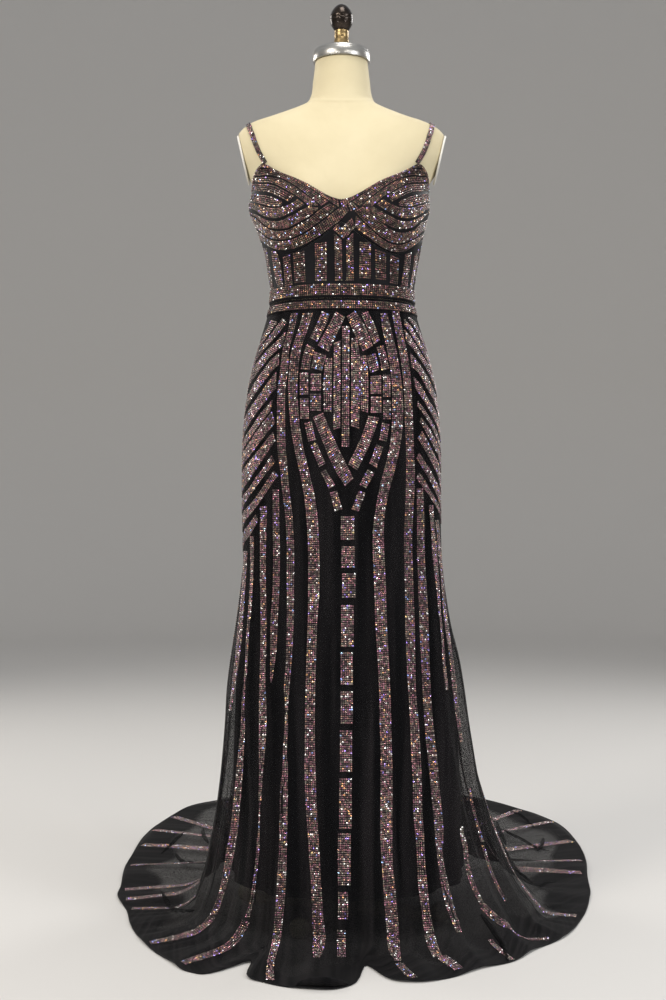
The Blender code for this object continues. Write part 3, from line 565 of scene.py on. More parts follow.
# Slanting bars over the hips, from the inner end outwards: upper edge, lower edge. Each one is built
# wider than it was read, by this many pixels on both sides.
CHEVRON_GROWTH = 0.5
CHEVRONS = (
    (((271, 320.5), (268, 327), (264, 335), (259.5, 345)),
     ((278, 321), (273, 328), (267, 336), (261, 346))),
    (((283, 318.5), (276, 328), (269.5, 337), (263, 346), (257, 355)),
     ((287, 322), (281, 330), (274, 338.5), (266, 347), (259, 356.5))),
    (((285.5, 332), (277, 341.5), (268, 350), (261, 358.5), (255, 366), (250.5, 374)),
     ((283.5, 344.5), (277, 350), (270, 356.5), (264, 363.5), (258, 371.5), (250, 384))),
    (((279.5, 353), (273, 358.5), (268, 364.5), (263, 371.5), (258, 378.5), (248.5, 395)),
     ((279, 364), (273, 369.5), (267, 377.5), (260, 386.5), (254, 395.5), (247, 407))),
    (((276.5, 372), (272, 377.5), (266, 386), (260, 394.5), (254, 403), (246.5, 415)),
     ((276.5, 388), (271, 393), (266, 400.5), (260, 408), (254, 416), (250, 423), (245.5, 431))),
    (((273, 399.5), (268, 405.5), (262, 412.5), (257, 419.5), (252, 427.5), (245, 438)),
     ((270.5, 409.5), (265, 417), (259, 425), (253, 434), (247.5, 442), (244, 448))),
    (((272, 411.5), (266, 419), (260, 427), (254, 436), (249, 444), (244, 452)),
     ((275.5, 422), (270, 428.5), (263, 438), (256, 447), (250, 455.5), (244, 463))),
    (((273, 431.5), (266, 441), (259, 450), (252, 459), (244.5, 468)),
     ((275.5, 440), (271, 446.5), (266, 454), (261, 462), (254, 472), (249, 480), (244, 487))),
    (((271.5, 455), (268, 461), (262, 470), (256, 478), (250, 487.5), (244, 495)),
     ((275.5, 461), (272, 466), (267, 472), (262, 478.5), (256, 486.5), (250, 495.5), (244.5, 503))),
    (((274, 470.5), (268, 479.5), (262, 488.5), (256, 497.5), (251, 504), (244.5, 511)),
     ((278.5, 475), (273, 481.5), (269, 488), (263, 497), (258, 504.5), (252, 512), (245.5, 520))),
    (((255.5, 514.5), (251, 522), (245, 530)), ((258.7, 520), (254, 528), (249, 537), (244.5, 542))),
    (((408, 317), (413, 320.5), (418, 328.5), (421.5, 337)),
     ((409, 320), (413.5, 326), (418.5, 334.5), (422, 342))),
    (((404, 319), (409, 324.5), (415, 334), (420, 342.5), (425, 350)),
     ((404, 323.8), (408.5, 330), (414, 338.5), (419, 346.5), (425, 357))),
    (((404, 329.5), (409, 335.5), (415, 345), (420, 353), (426, 362), (429.5, 369)),
     ((406.3, 341.5), (412, 347), (418, 355.5), (424, 364.5), (430, 375.5))),
    (((410, 353), (416, 360.5), (423, 370.5), (430, 382.5), (433, 390)),
     ((411.3, 366.5), (418, 371.5), (423, 380.5), (429, 391.5), (434, 400.5), (435.5, 405))),
    (((413, 376.5), (419, 383.5), (425, 394.5), (431, 404.5), (435.5, 412)),
     ((415.3, 387.5), (421, 396), (427, 405.5), (432, 414.5), (436.5, 424))),
    (((417.5, 400.5), (423, 408), (429, 418), (434, 427), (437, 434)),
     ((417.3, 405.5), (422, 411.5), (428, 420.5), (433, 429.5), (437, 439))),
    (((421, 417.5), (426, 424.5), (431, 432.5), (436, 441.5), (438, 447)),
     ((419.5, 421), (423, 426.5), (428, 436), (433, 445), (437.5, 454))),
    (((422, 431), (427, 440.5), (432, 450.5), (438, 463)),
     ((417.3, 437.5), (423, 446.5), (429, 457.5), (435, 469), (438, 477))),
    (((419, 452.5), (424, 460.5), (430, 470.5), (435, 479.5), (438.5, 487)),
     ((416.3, 457.5), (421, 465.5), (427, 475.5), (433, 486.5), (438, 497))),
    (((419, 472.5), (424, 479.5), (429, 488.5), (434, 497.5), (438, 504)),
     ((416.3, 477.5), (421, 484.5), (427, 492.5), (433, 501.5), (438, 510))),
)

# Upright bars of the midriff: points of the left edge, points of the right edge.
MIDRIFF_BARS = (
    (((334, 232.5), (335, 281)), ((341.5, 240), (342.6, 281))),
    (((346.6, 240), (346.2, 281)), ((353, 232.5), (354.2, 281))),
    (((314.6, 243), (315, 281)), ((326.8, 241.5), (326.8, 281))),
    (((293, 253), (294.5, 283.5)), ((304.3, 250.8), (305.8, 282))),
    (((282.8, 257), (285.2, 286.5)), ((290, 254), (292.8, 285))),
    (((271.5, 250.5), (273, 265), (275.5, 280), (279, 289.5)),
     ((277, 252), (280, 262), (282, 275), (283.5, 288))),
    (((263, 248), (266, 268), (269.3, 290)), ((267, 248), (270.3, 268), (274.3, 290.5))),
    (((359.5, 241.5), (359.3, 278.5)), ((371, 242), (371, 278.8))),
    (((375.2, 249), (375.5, 279.5)), ((386.3, 252.5), (386.3, 280.5))),
    (((390.3, 254.5), (389.7, 283)), ((399, 258), (397.8, 285))),
    (((405, 254), (401, 287)), ((411.5, 252), (407, 289))),
    (((414.5, 256), (412, 275), (409.3, 290)), ((419, 248), (416, 268), (411.5, 291))),
)

# Bands of both cups, given on the left one and mirrored about CUP_MIRROR: upper edge, lower edge.
CUP_MIRROR = 340.5
CUP_BANDS = (
    (((262, 162), (271, 164), (281, 168.5), (291, 173), (301, 177), (311, 182.5), (321, 188),
      (331, 193.5), (340, 198)),
     ((262.4, 167.3), (270, 167.4), (279, 170.7), (288, 174.4), (297, 178.9), (306, 184.2),
      (315, 190.6), (322, 195.6), (330, 201.2), (339, 207.2))),
    (((261, 169), (270, 168.7), (279, 171.9), (288, 175.6), (297, 180.1), (306, 185.4), (315, 191.8),
      (322, 196.8), (328.5, 201.5)),
     ((259.4, 176), (265, 175.2), (271.4, 175.7), (279, 177.2), (286.3, 180.4), (294, 184.9),
      (300, 189), (307, 194.3), (313, 198.9), (321.5, 206))),
    (((259.4, 177.3), (265, 176.4), (271.4, 176.9), (279, 178.4), (286.3, 181.6), (294, 186.1),
      (300, 190.2), (307, 195.6), (313, 200.3), (319, 205.5)),
     ((261, 182.7), (266, 182.5), (270.5, 183), (275.5, 184.4), (281.8, 187.5), (288, 191),
      (294, 194.3), (299, 197.6), (304, 201.6), (309, 206.2))),
    (((260, 184), (266, 183.7), (270.5, 184.2), (275.5, 185.6), (281.8, 188.7), (288, 192.2),
      (294.5, 196)),
     ((259, 191.7), (265, 191.7), (270, 192.7), (275, 194.8), (280.3, 197.3), (285, 199.8),
      (288.8, 201.9))),
    (((259, 194.8), (265, 194.8), (270, 195.9), (275.5, 198.2), (279, 199.8), (282.3, 201.6)),
     ((257.5, 203), (262, 204.2), (267.6, 205.9), (273.6, 206.6), (278, 206.6), (282.3, 205.8))),
    (((257, 204.5), (262, 205.5), (267.6, 207.2), (273.6, 207.9), (279, 207.8), (285, 206),
      (291.5, 203.2), (297.5, 199)),
     ((257, 211.4), (262.5, 215.3), (268.5, 217.5), (275.2, 218.3), (280.6, 217.5), (286.5, 214.7),
      (293, 211.3), (300, 207.3), (305, 204.3))),
    (((258, 215.6), (263, 218.6), (269, 220.7), (275.5, 221.4), (281.3, 220.5), (287.4, 217.5),
      (293.6, 214.3), (301, 210.3), (308.8, 206.6)),
     ((258, 218.3), (262.4, 222.5), (268.4, 227.2), (275.8, 228.8), (282, 228.8), (288.5, 227.5),
      (293.8, 225), (299.7, 221.8), (305.7, 218.4), (311.7, 214.3), (319, 207.8))),
)

# Bands under the cups, two on the left and two on the right: upper edge, lower edge.
LOW_CUP_BANDS = (
    (((259, 221), (262.6, 224.6), (268.4, 229.3), (275.8, 230.8), (282, 230.8), (288.5, 229.5),
      (294, 227), (300, 223.8), (306, 220.3), (312, 216.2), (320, 209.5), (330, 203.3)),
     ((261, 231.5), (265, 235.2), (270, 237.9), (277.3, 239.5), (285, 239.4), (292.3, 237.6),
      (299.7, 234.5), (307.2, 230.3), (314.7, 225.2), (322, 219.6), (329.6, 213.8), (337, 207.4))),
    (((261, 233.5), (265, 236.9), (270, 239.5), (277.3, 241.1), (285, 241), (292.3, 239.2),
      (299.7, 236.1), (307.2, 231.9), (314.7, 226.8), (322, 221.2), (331, 214.2), (340, 207.2),
      (346, 203)),
     ((263, 242), (269, 246.5), (275, 249.2), (283, 250.2), (292, 249.2), (302, 245.6), (312, 240.6),
      (322, 234.2), (331, 227.5), (339, 221.5), (349, 210.5))),
    (((363, 206.5), (368.5, 211.3), (375.3, 217), (384.3, 224.8), (390.3, 228.7), (397.7, 232.3),
      (405.2, 232.7), (414.2, 230), (420, 224.5)),
     ((354, 210.5), (364, 221.5), (373.8, 230.5), (382.8, 238), (390.3, 241.8), (397.7, 243.3),
      (405.2, 241.9), (412.7, 239), (419, 234.5))),
    (((355.5, 215.2), (364, 223), (373.8, 232.1), (382.8, 239.6), (390.3, 243.3), (397.7, 244.8),
      (405.2, 243.4), (412.7, 240.4), (419.5, 236.5)),
     ((355, 227), (363, 233.3), (371, 238.8), (378, 244.5), (387, 249.5), (396, 252), (405, 251.2),
      (412, 247), (419, 241.5))),
)

# Blocks between the cups, where the bands of both meet: points of two edges.
CENTRE_CROSS = (
    (((341, 228.5), (352, 217.5)), ((346.5, 237.5), (355, 227))),
    (((337.5, 223.5), (346, 234.5)), ((332.5, 229), (343.5, 239))),
    (((347.5, 203.5), (352.4, 202.2)), ((350.2, 211.6), (358.6, 208))),
)

# Long bands of the back, which fan out over the floor:
# angle at the waist, angle at the hem, where each one starts below the waist, width.
BACK_BANDS = (
    (-172, -172, 0.035, 0.022),
    (-161, -163, 0.035, 0.026),
    (-150, -154, 0.035, 0.022),
    (-142, -147, 0.370, 0.022),
    (-134, -139.5, 0.390, 0.022),
    (-124, -127, 0.430, 0.022),
    (-113, -108, 0.470, 0.021),
    (-102, -98.5, 0.500, 0.020),
    (-91, -91, 0.530, 0.019),
    (97, 84, 0.520, 0.020),
    (113, 118, 0.470, 0.022),
    (124, 126.5, 0.430, 0.022),
    (134, 137.5, 0.390, 0.022),
    (142, 147, 0.370, 0.022),
    (150, 154.5, 0.035, 0.022),
    (161, 163, 0.035, 0.026),
    (172, 172, 0.035, 0.022),
)

# Corners of a stone's square girdle and of its table, turned an eighth round, in half sizes, and the
# facets between those eight corners.
GIRDLE_CORNERS = ((-1, -1), (1, -1), (1, 1), (-1, 1))
TABLE_CORNERS = ((0, -1), (1, 0), (0, 1), (-1, 0))
STONE_FACETS = (
    (0, 1, 4),
    (1, 5, 4),
    (1, 2, 5),
    (2, 6, 5),
    (2, 3, 6),
    (3, 7, 6),
    (3, 0, 7),
    (0, 4, 7),
    (4, 5, 6, 7),
)

# Cells of the net and threads of the weaves in a metre, and the net's thread as a share of a cell.
NET_CELLS = 560.0
NET_THREAD = 0.15
LINING_THREADS = 1100
LINEN_THREADS = 900

# Soft lights, and small ones for glints: name, place, size, power, colour.
LIGHTS = (
    ("key", (-2.4, -2.6, 3.0), 1.0, 68, (1.0, 0.95, 0.88)),
    ("fill", (2.8, -2.2, 2.2), 1.2, 34, (0.92, 0.95, 1.0)),
    ("top", (0.2, -0.6, 3.6), 0.9, 26, (1.0, 0.98, 0.95)),
    ("back_right", (2.4, 2.6, 2.8), 1.2, 46, (1.0, 1.0, 1.0)),
    ("back_left", (-2.6, 2.4, 2.4), 1.2, 34, (1.0, 0.97, 0.93)),
    ("glint_1", (-0.9, -2.9, 1.9), 0.12, 7, (1.0, 0.97, 0.92)),
    ("glint_2", (1.1, -2.7, 2.3), 0.12, 7, (1.0, 0.97, 0.92)),
    ("glint_3", (-1.9, -2.2, 0.7), 0.12, 6, (0.95, 0.97, 1.0)),
    ("glint_4", (2.1, -2.1, 1.0), 0.12, 6, (0.95, 0.97, 1.0)),
)
LIGHTS_AIM = (0, 0, 0.8)


# Shapes


def smooth(table, column, at):
    """The table's column read at the first column's values, along a smooth curve."""
    knots = np.array([row[0] for row in table], float)
    values = np.array([row[column] for row in table], float)
    slopes = np.gradient(values, knots)
    at = np.clip(np.asarray(at, float), knots[0], knots[-1])
    low = np.clip(np.searchsorted(knots, at) - 1, 0, len(knots) - 2)
    span = knots[low + 1] - knots[low]
    t = (at - knots[low]) / span
    start = (1 + 2 * t) * (1 - t) ** 2 * values[low] + t * (1 - t) ** 2 * span * slopes[low]
    end = t * t * (3 - 2 * t) * values[low + 1] + t * t * (t - 1) * span * slopes[low + 1]
    return start + end


def straight(table, column, at):
    """The table's column read at the first column's values, along straight lines."""
    knots = [row[0] for row in table]
    return np.interp(at, knots, [row[column] for row in table])


def ease(share):
    """A share from 0 to 1 with a soft start and a soft end."""
    return share * share * (3 - 2 * share)


def unit(vectors):
    """The same directions at length 1."""
    return vectors / np.maximum(np.linalg.norm(vectors, axis=-1, keepdims=True), 1e-12)


def lengths(line):
    """Lengths from the start of a line of points, or of a grid's columns, to each of its points."""
    steps = np.linalg.norm(np.diff(line, axis=0), axis=-1)
    return np.concatenate([np.zeros_like(steps[:1]), np.cumsum(steps, axis=0)])


def read_line(spots, at, line):
    """Points at some spots of a line whose own points lie at the values of at."""
    return np.stack([np.interp(spots, at, line[:, k]) for k in range(3)], axis=-1)


def all_round(step):
    """Angles from the centre back once round to it again."""
    return np.arange(-180, 180.01, step)


def waves(table, turn):
    """The sum of waves round the axis: height, how many go round, shift."""
    return sum(height * np.sin(count * turn + shift) for height, count, shift in table)


def oval(angle, left, right, front, back, roundness):
    """Points of an oval with its own half width on each side and its own depth at front and back."""
    turn = np.radians(angle)
    across = np.sin(turn)
    ahead = np.cos(turn)
    power = 2 / roundness
    side = np.where(across < 0, left, right)
    depth = np.where(ahead > 0, front, back)
    x = side * np.sign(across) * np.abs(across) ** power
    y = -depth * np.sign(ahead) * np.abs(ahead) ** power
    return x, y


def bust(x, y, height):
    """How far the cups stand forward of the plain sections."""
    tall = np.where(height > BUST_Z, BUST_RISE, BUST_DROP)
    upright = np.exp(-(((height - BUST_Z) / tall) ** 2))
    mounds = sum(np.exp(-(((x - side * BUST_X) / BUST_WIDTH) ** 2)) for side in (-1, 1))
    return BUST_DEPTH * upright * mounds * ease(np.clip(-y / BUST_FRONT, 0, 1))


def body_point(angle, height, inset=0.0):
    """Points of the garment's outer surface, or of one that lies inside it by the inset."""
    angle, height = np.broadcast_arrays(np.asarray(angle, float), np.asarray(height, float))
    left, right, front, back = (smooth(SECTIONS, k, height) - inset for k in (1, 2, 3, 4))
    x, y = oval(angle, left, right, front, back, smooth(SECTIONS, 5, height))
    return np.stack([x, y - bust(x, y, height), height], axis=-1)


def arm_plane(height):
    """Half width of the form at its flat sides, where the arm plates are."""
    (low, near), (high, far) = ARM_PLANE_LOW, ARM_PLANE_HIGH
    return near + (np.asarray(height) - low) * (far - near) / (high - low)


def form_point(angle, height):
    """Points of the form's cover, clear of the cloth and flat at the arm plates."""
    inset = BODICE_WALL + straight(CLEARANCES, 1, height)
    point = body_point(angle, height, inset)
    limit = np.where(np.asarray(height) > ARM_PLANE_LOW[0], arm_plane(height), 1.0)
    point[..., 0] = np.clip(point[..., 0], -limit, limit)
    return point


def normal_at(surface, angle, height):
    """Outward normals of a surface that is given as a function of angle and height."""
    around = surface(angle + 0.2, height) - surface(angle - 0.2, height)
    up = surface(angle, height + 0.0005) - surface(angle, height - 0.0005)
    return unit(np.cross(around, up))


def lobe(angle, middle, half):
    """A soft swell, 1 at its middle angle and 0 from half a width away."""
    away = (angle - middle + 180) % 360 - 180
    return np.where(np.abs(away) < half, np.cos(np.pi * away / (2 * half)) ** 2, 0)


def fold_depth(table, angle, height):
    """How far a table's folds stand out at one height."""
    total = np.zeros_like(angle)
    for middle, half, depth, start in table:
        grown = ease(np.clip((start - height) / (start - FOLD_FOOT), 0, 1))
        total += depth * grown * lobe(angle, middle, half)
    return total


def grid_normals(grid):
    """Outward normals of a grid that goes all round, so that its last column repeats its first."""
    ring = grid[:, :-1]
    around = np.roll(ring, -1, axis=1) - np.roll(ring, 1, axis=1)
    down = np.gradient(ring, axis=0)
    normal = unit(np.cross(down, around))
    return np.concatenate([normal, normal[:, :1]], axis=1)


def skirt_grid():
    """Angles and points of the skirt's outer surface, from the waist to the hem."""
    angles = all_round(SKIRT_COLUMN)
    hanging = np.linspace(WAIST_SEAM - 0.0002, HANG_FOOT, HANG_ROWS)
    heights = np.concatenate([hanging, np.linspace(TURN_TOP, FLOOR_TURN, TURN_ROWS)])
    rows = [body_point(angles, height) for height in heights]
    folds = [fold_depth(FOLDS, angles, height) + fold_depth(CREASES, angles, height) for height in heights]
    foot = rows[-1]
    reach = smooth(HEM_REACH, 1, angles)
    turn = np.radians(angles)
    hem = np.stack([reach * np.sin(turn), -reach * np.cos(turn), 0 * turn], axis=-1)
    way = hem - foot
    way[:, 2] = 0
    length = np.linalg.norm(way, axis=1)
    landing = np.minimum(LANDING, LANDING_SHARE * length)
    steps = [landing * k / LANDING_ROWS for k in range(1, LANDING_ROWS + 1)]
    steps += [landing + (length - landing) * k / FLOOR_ROWS for k in range(1, FLOOR_ROWS + 1)]
    for step in steps:
        point = foot + way * (step / length)[:, None]
        left = np.clip(1 - step / landing, 0, 1)
        point[:, 2] = WALL + (FLOOR_TURN - WALL) * left**2
        beyond = np.clip((step - landing) / (length - landing), 0, 1)
        rows.append(point)
        folds.append(folds[len(heights) - 1] * (1 - FLOOR_FOLD_LOSS * beyond))
    grid = np.array(rows)
    normals = grid_normals(grid)
    normals[-FLOOR_ROWS - 1 :] = (0, 0, 1)
    grid = grid + normals * np.array(folds)[..., None]
    grid[..., 2] = np.maximum(grid[..., 2], FLOOR_CLEARANCE)
    return angles, grid


# Meshes


def add_object(name, mesh, material):
    """Puts a mesh with its material into the scene."""
    mesh.materials.append(material)
    item = bpy.data.objects.new(name, mesh)
    bpy.context.scene.collection.objects.link(item)
    return item


def new_object(name, points, faces, material):
    """A smoothly shaded piece from points and faces."""
    mesh = bpy.data.meshes.new(name)
    mesh.from_pydata([tuple(p) for p in points], [], faces)
    mesh.shade_smooth()
    return add_object(name, mesh, material)


def grid_faces(rows, columns, closed=False):
    """Faces of a grid of points, whose rows run down and whose columns run to the right."""
    faces = []
    for r in range(rows - 1):
        upper, lower = r * columns, (r + 1) * columns
        for c in range(columns if closed else columns - 1):
            after = (c + 1) % columns
            faces.append((upper + c, lower + c, lower + after, upper + after))
    return faces


def cloth_uv(item, grid):
    """Lays the cloth's own lengths, in metres, on the piece, for its weave."""
    across = lengths(grid.transpose(1, 0, 2)).T
    middle = across - across[:, [across.shape[1] // 2]]
    flat = np.stack([middle, lengths(grid)], axis=-1).reshape(-1, 2)
    layer = item.data.uv_layers.new(name="cloth")
    corners = np.empty(len(item.data.loops), np.int32)
    item.data.loops.foreach_get("vertex_index", corners)
    layer.data.foreach_set("uv", flat[corners].astype(np.float32).ravel())


def mark_double(item, share):
    """Stores how far the net lies double, as one share for the piece or one for each point."""
    share = np.broadcast_to(np.reshape(share, (-1, 1)), (len(item.data.vertices), 1))
    layer = item.data.color_attributes.new("border", "FLOAT_COLOR", "POINT")
    colours = np.concatenate([np.repeat(share, 3, axis=1), np.ones_like(share)], axis=1)
    layer.data.foreach_set("color", colours.astype(np.float32).ravel())


def border_layer(item, grid, angles):
    """Marks where the net lies double: a wavy border along the hem, and the low part of the front."""
    from_hem = lengths(grid[::-1])[::-1]
    edge = HEM_BORDER * (1 + waves(BORDER_WAVES, np.radians(angles)))
    share = np.clip((edge[None] - from_hem) / BORDER_FADE + 0.5, 0, 1)
    front_edge = FRONT_EDGE + FRONT_WAVE * np.sin(from_hem * FRONT_WAVES)
    front = np.clip((front_edge - np.abs(angles)) / FRONT_FADE, 0, 1)
    low = np.clip((FRONT_TOP - grid[..., 2]) / FRONT_TOP_FADE, 0, 1)
    mark_double(item, np.maximum(share, FRONT_DOUBLE * front * low))


def sheet_piece(name, grid, material, thick=0.0):
    """A piece of cloth from a grid of points on its outer face."""
    item = new_object(name, grid.reshape(-1, 3), grid_faces(*grid.shape[:2]), material)
    cloth_uv(item, grid)
    if thick:
        shell = item.modifiers.new("Thickness", "SOLIDIFY")
        shell.thickness = thick
        shell.offset = -1
    return item


def ready(item, slot, *nodes):
    """Gives a piece its body and hides the nodes that it replaces. The slot is not used."""
    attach(item, "root")
    if nodes:
        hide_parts(*nodes)


# Materials


def new_material(name, colour, roughness, metallic=0.0, **values):
    """A material with one shader, whose other inputs are named with underscores for spaces."""
    material = bpy.data.materials.new(name)
    material.use_nodes = True
    tree = material.node_tree
    shader = tree.nodes["Principled BSDF"]
    shader.inputs["Base Color"].default_value = (*colour, 1)
    shader.inputs["Roughness"].default_value = roughness
    shader.inputs["Metallic"].default_value = metallic
    for key, value in values.items():
        shader.inputs[key.replace("_", " ")].default_value = value
    return material, tree, shader


def feed(tree, socket, given):
    """Gives a socket a plain value or another node's output."""
    if isinstance(given, bpy.types.NodeSocket):
        tree.links.new(given, socket)
    else:
        socket.default_value = given


def add_node(tree, kind, **values):
    """A node with its settings, and with its inputs named with underscores for spaces."""
    node = tree.nodes.new(kind)
    for key, value in values.items():
        if hasattr(node, key):
            setattr(node, key, value)
        else:
            feed(tree, node.inputs[key.replace("_", " ")], value)
    return node


def calculate(tree, operation, *values):
    """The outcome of one sum."""
    node = add_node(tree, "ShaderNodeMath", operation=operation)
    for socket, value in zip(node.inputs, values):
        feed(tree, socket, value)
    return node.outputs[0]


def cloth_coords(tree):
    """The cloth's own lengths, as cloth_uv lays them."""
    return add_node(tree, "ShaderNodeUVMap", uv_map="cloth").outputs["UV"]


def object_coords(tree):
    """Places in the piece."""
    return tree.nodes.new("ShaderNodeTexCoord").outputs["Object"]


def scaled_coords(tree, coords, scale):
    """Coordinates multiplied by a scale for each axis."""
    return add_node(tree, "ShaderNodeMapping", Vector=coords, Scale=scale).outputs["Vector"]


def point_colour(tree, layer):
    """The colours stored at the piece's points."""
    return add_node(tree, "ShaderNodeVertexColor", layer_name=layer).outputs["Color"]


def noise(tree, coords, scale, detail=3.0):
    """Soft random blots."""
    node = add_node(tree, "ShaderNodeTexNoise", Vector=coords, Scale=scale, Detail=detail, Roughness=0.55)
    return node.outputs["Fac"]


def spread(tree, source, low, high, start=0.0, end=1.0):
    """A value that runs from low to high while the source runs from start to end."""
    ends = {"From_Min": start, "From_Max": end, "To_Min": low, "To_Max": high}
    return add_node(tree, "ShaderNodeMapRange", Value=source, **ends).outputs["Result"]


def tint(tree, shader, source, low, high, start=0.3, end=0.7):
    """Base colour that runs from low to high while the source runs from start to end."""
    node = add_node(tree, "ShaderNodeValToRGB", Fac=source)
    dark, light = node.color_ramp.elements
    dark.position = start
    dark.color = (*low, 1)
    light.position = end
    light.color = (*high, 1)
    tree.links.new(node.outputs["Color"], shader.inputs["Base Color"])


def bump(tree, shader, height, strength, distance):
    """Fine relief from a height."""
    node = add_node(tree, "ShaderNodeBump", Height=height, Strength=strength, Distance=distance)
    tree.links.new(node.outputs["Normal"], shader.inputs["Normal"])


def weave_height(tree, coords, threads):
    """Over and under threads at a scale of so many threads a metre."""
    split = add_node(tree, "ShaderNodeSeparateXYZ", Vector=coords)
    waves = []
    for axis in ("X", "Y"):
        scaled = calculate(tree, "MULTIPLY", split.outputs[axis], threads * math.pi)
        waves.append(calculate(tree, "SINE", scaled))
    return calculate(tree, "MULTIPLY", *waves)


def tulle_material():
    """Sheer black net: fine holes between dark threads, denser where it is gathered or lies double."""
    look = {"Specular_IOR_Level": 0.08, "Sheen_Weight": 0.02, "Sheen_Roughness": 0.4}
    material, tree, shader = new_material("black_tulle", (0.006, 0.005, 0.006), 0.75, **look)
    coords = cloth_coords(tree)
    net = {"feature": "DISTANCE_TO_EDGE", "Vector": coords, "Scale": NET_CELLS}
    from_edge = add_node(tree, "ShaderNodeTexVoronoi", **net).outputs["Distance"]
    thread = calculate(tree, "LESS_THAN", from_edge, NET_THREAD)
    gathers_and_painted_highlight = noise(tree, scaled_coords(tree, coords, (42, 1.6, 1)), 1.0)
    between_threads = spread(tree, gathers_and_painted_highlight, 0.20, 0.48, 0.35, 0.7)
    single = spread(tree, thread, between_threads, 0.88)
    double = spread(tree, point_colour(tree, "border"), single, 0.94)
    tree.links.new(double, shader.inputs["Alpha"])
    # Lighter where the gathers run: partly the denser net, partly a painted highlight on the gathered
    # folds.
    tint(tree, shader, gathers_and_painted_highlight, (0.002, 0.002, 0.0025), (0.016, 0.014, 0.015), 0.42, 0.72)
    return material


def lining_material():
    """Opaque black satin with a fine twill."""
    look = {"Specular_IOR_Level": 0.10, "Sheen_Weight": 0.01}
    material, tree, shader = new_material("black_lining", (0.005, 0.005, 0.006), 0.55, **look)
    coords = cloth_coords(tree)
    bump(tree, shader, weave_height(tree, coords, LINING_THREADS), 0.25, 0.0002)
    clumps = noise(tree, coords, 14.0)
    tint(tree, shader, clumps, (0.003, 0.003, 0.004), (0.008, 0.0075, 0.009), 0.3, 0.75)
    tree.links.new(spread(tree, clumps, 0.42, 0.6), shader.inputs["Roughness"])
    return material


def stone_material():
    """Small foiled crystals, each with its own tint."""
    look = {"Coat_Weight": 0.5, "Coat_Roughness": 0.04}
    material, tree, shader = new_material("crystal_stones", (0.4, 0.33, 0.31), 0.12, 0.9, **look)
    tree.links.new(point_colour(tree, "stone"), shader.inputs["Base Color"])
    grain = noise(tree, object_coords(tree), 900.0, 1.0)
    tree.links.new(spread(tree, grain, 0.05, 0.18), shader.inputs["Roughness"])
    return material


def cover_material():
    """Cream linen over the form's padding."""
    material, tree, shader = new_material("form_linen", (0.72, 0.63, 0.42), 0.88, Sheen_Weight=0.12)
    coords = cloth_coords(tree)
    slubs = noise(tree, coords, 260.0, 4.0)
    relief = calculate(tree, "ADD", weave_height(tree, coords, LINEN_THREADS), slubs)
    bump(tree, shader, relief, 0.35, 0.0003)
    age = noise(tree, coords, 6.0, 5.0)
    tint(tree, shader, age, (0.66, 0.57, 0.36), (0.76, 0.67, 0.45), 0.3, 0.72)
    return material


def metal_material(name, low, high, roughness, scratch, metallic=1.0):
    """Metal with fine turning marks and slightly uneven polish."""
    material, tree, shader = new_material(name, low, roughness, metallic)
    marks = noise(tree, scaled_coords(tree, object_coords(tree), (1, 1, scratch)), 60.0, 4.0)
    tint(tree, shader, marks, low, high)
    tree.links.new(spread(tree, marks, roughness * 0.7, roughness * 1.4), shader.inputs["Roughness"])
    bump(tree, shader, marks, 0.15, 0.0002)
    return material


def paint_material(name, low, high, roughness):
    """Brushed-on paint or moulded plastic with slight mottling."""
    material, tree, shader = new_material(name, low, roughness)
    coords = object_coords(tree)
    tint(tree, shader, noise(tree, coords, 35.0, 5.0), low, high)
    bump(tree, shader, noise(tree, coords, 420.0), 0.12, 0.0003)
    return material


TULLE = tulle_material()
LINING = lining_material()
STONE = stone_material()
LINEN = cover_material()
STEEL = metal_material("brushed_steel", (0.42, 0.41, 0.38), (0.62, 0.60, 0.56), 0.3, 40.0)
BRASS = metal_material("aged_brass", (0.22, 0.15, 0.07), (0.50, 0.36, 0.17), 0.34, 20.0)
BRONZE = metal_material("dark_bronze", (0.025, 0.02, 0.018), (0.06, 0.045, 0.035), 0.22, 1.0, 0.85)
PLATE = paint_material("plate_white", (0.74, 0.72, 0.66), (0.82, 0.80, 0.74), 0.45)
CREAM = paint_material("cream_paint", (0.70, 0.64, 0.50), (0.80, 0.74, 0.60), 0.45)


# The form and its stand


def build_form():
    """The padded torso and neck, with the cover's seams sunk in."""
    angles = all_round(COVER_COLUMN)
    heights = np.concatenate([np.linspace(*rows) for rows in FORM_ROWS])
    grid = np.array([form_point(angles, height) for height in heights])
    out = grid_normals(grid)
    level = grid[..., 2]
    radius = np.linalg.norm(grid[..., :2], axis=2)
    neck_seam = NECK_SEAM - NECK_SEAM_DIP * np.clip(np.cos(np.radians(angles)), 0, 1)[None] ** 2
    sunk = NECK_SEAM_DEPTH * np.exp(-(((level - neck_seam) / COVER_SEAM_WIDTH) ** 2))
    for seam in COVER_SEAMS:
        away = np.abs((angles - seam + 180) % 360 - 180)[None] * radius * math.pi / 180
        groove = COVER_SEAM_DEPTH * np.exp(-((away / COVER_SEAM_WIDTH) ** 2))
        sunk = np.maximum(sunk, groove * (level < neck_seam))
    grid = grid - out * sunk[..., None]
    lowest = grid[0].copy()
    lowest[:, :2] *= COVER_TUCK
    lowest[:, 2] = FORM_BOTTOM
    middle, crown = (np.repeat(ring.mean(axis=0)[None], len(angles), axis=0) for ring in (lowest, grid[-1]))
    grid = np.concatenate([middle[None], lowest[None], grid, crown[None]])[::-1]
    item = sheet_piece("torso_cover", grid, LINEN)
    bm = bmesh.new()
    bm.from_mesh(item.data)
    bmesh.ops.remove_doubles(bm, verts=bm.verts, dist=0.00001)
    bm.to_mesh(item.data)
    bm.free()
    ready(item, "form_cover", "form_body")


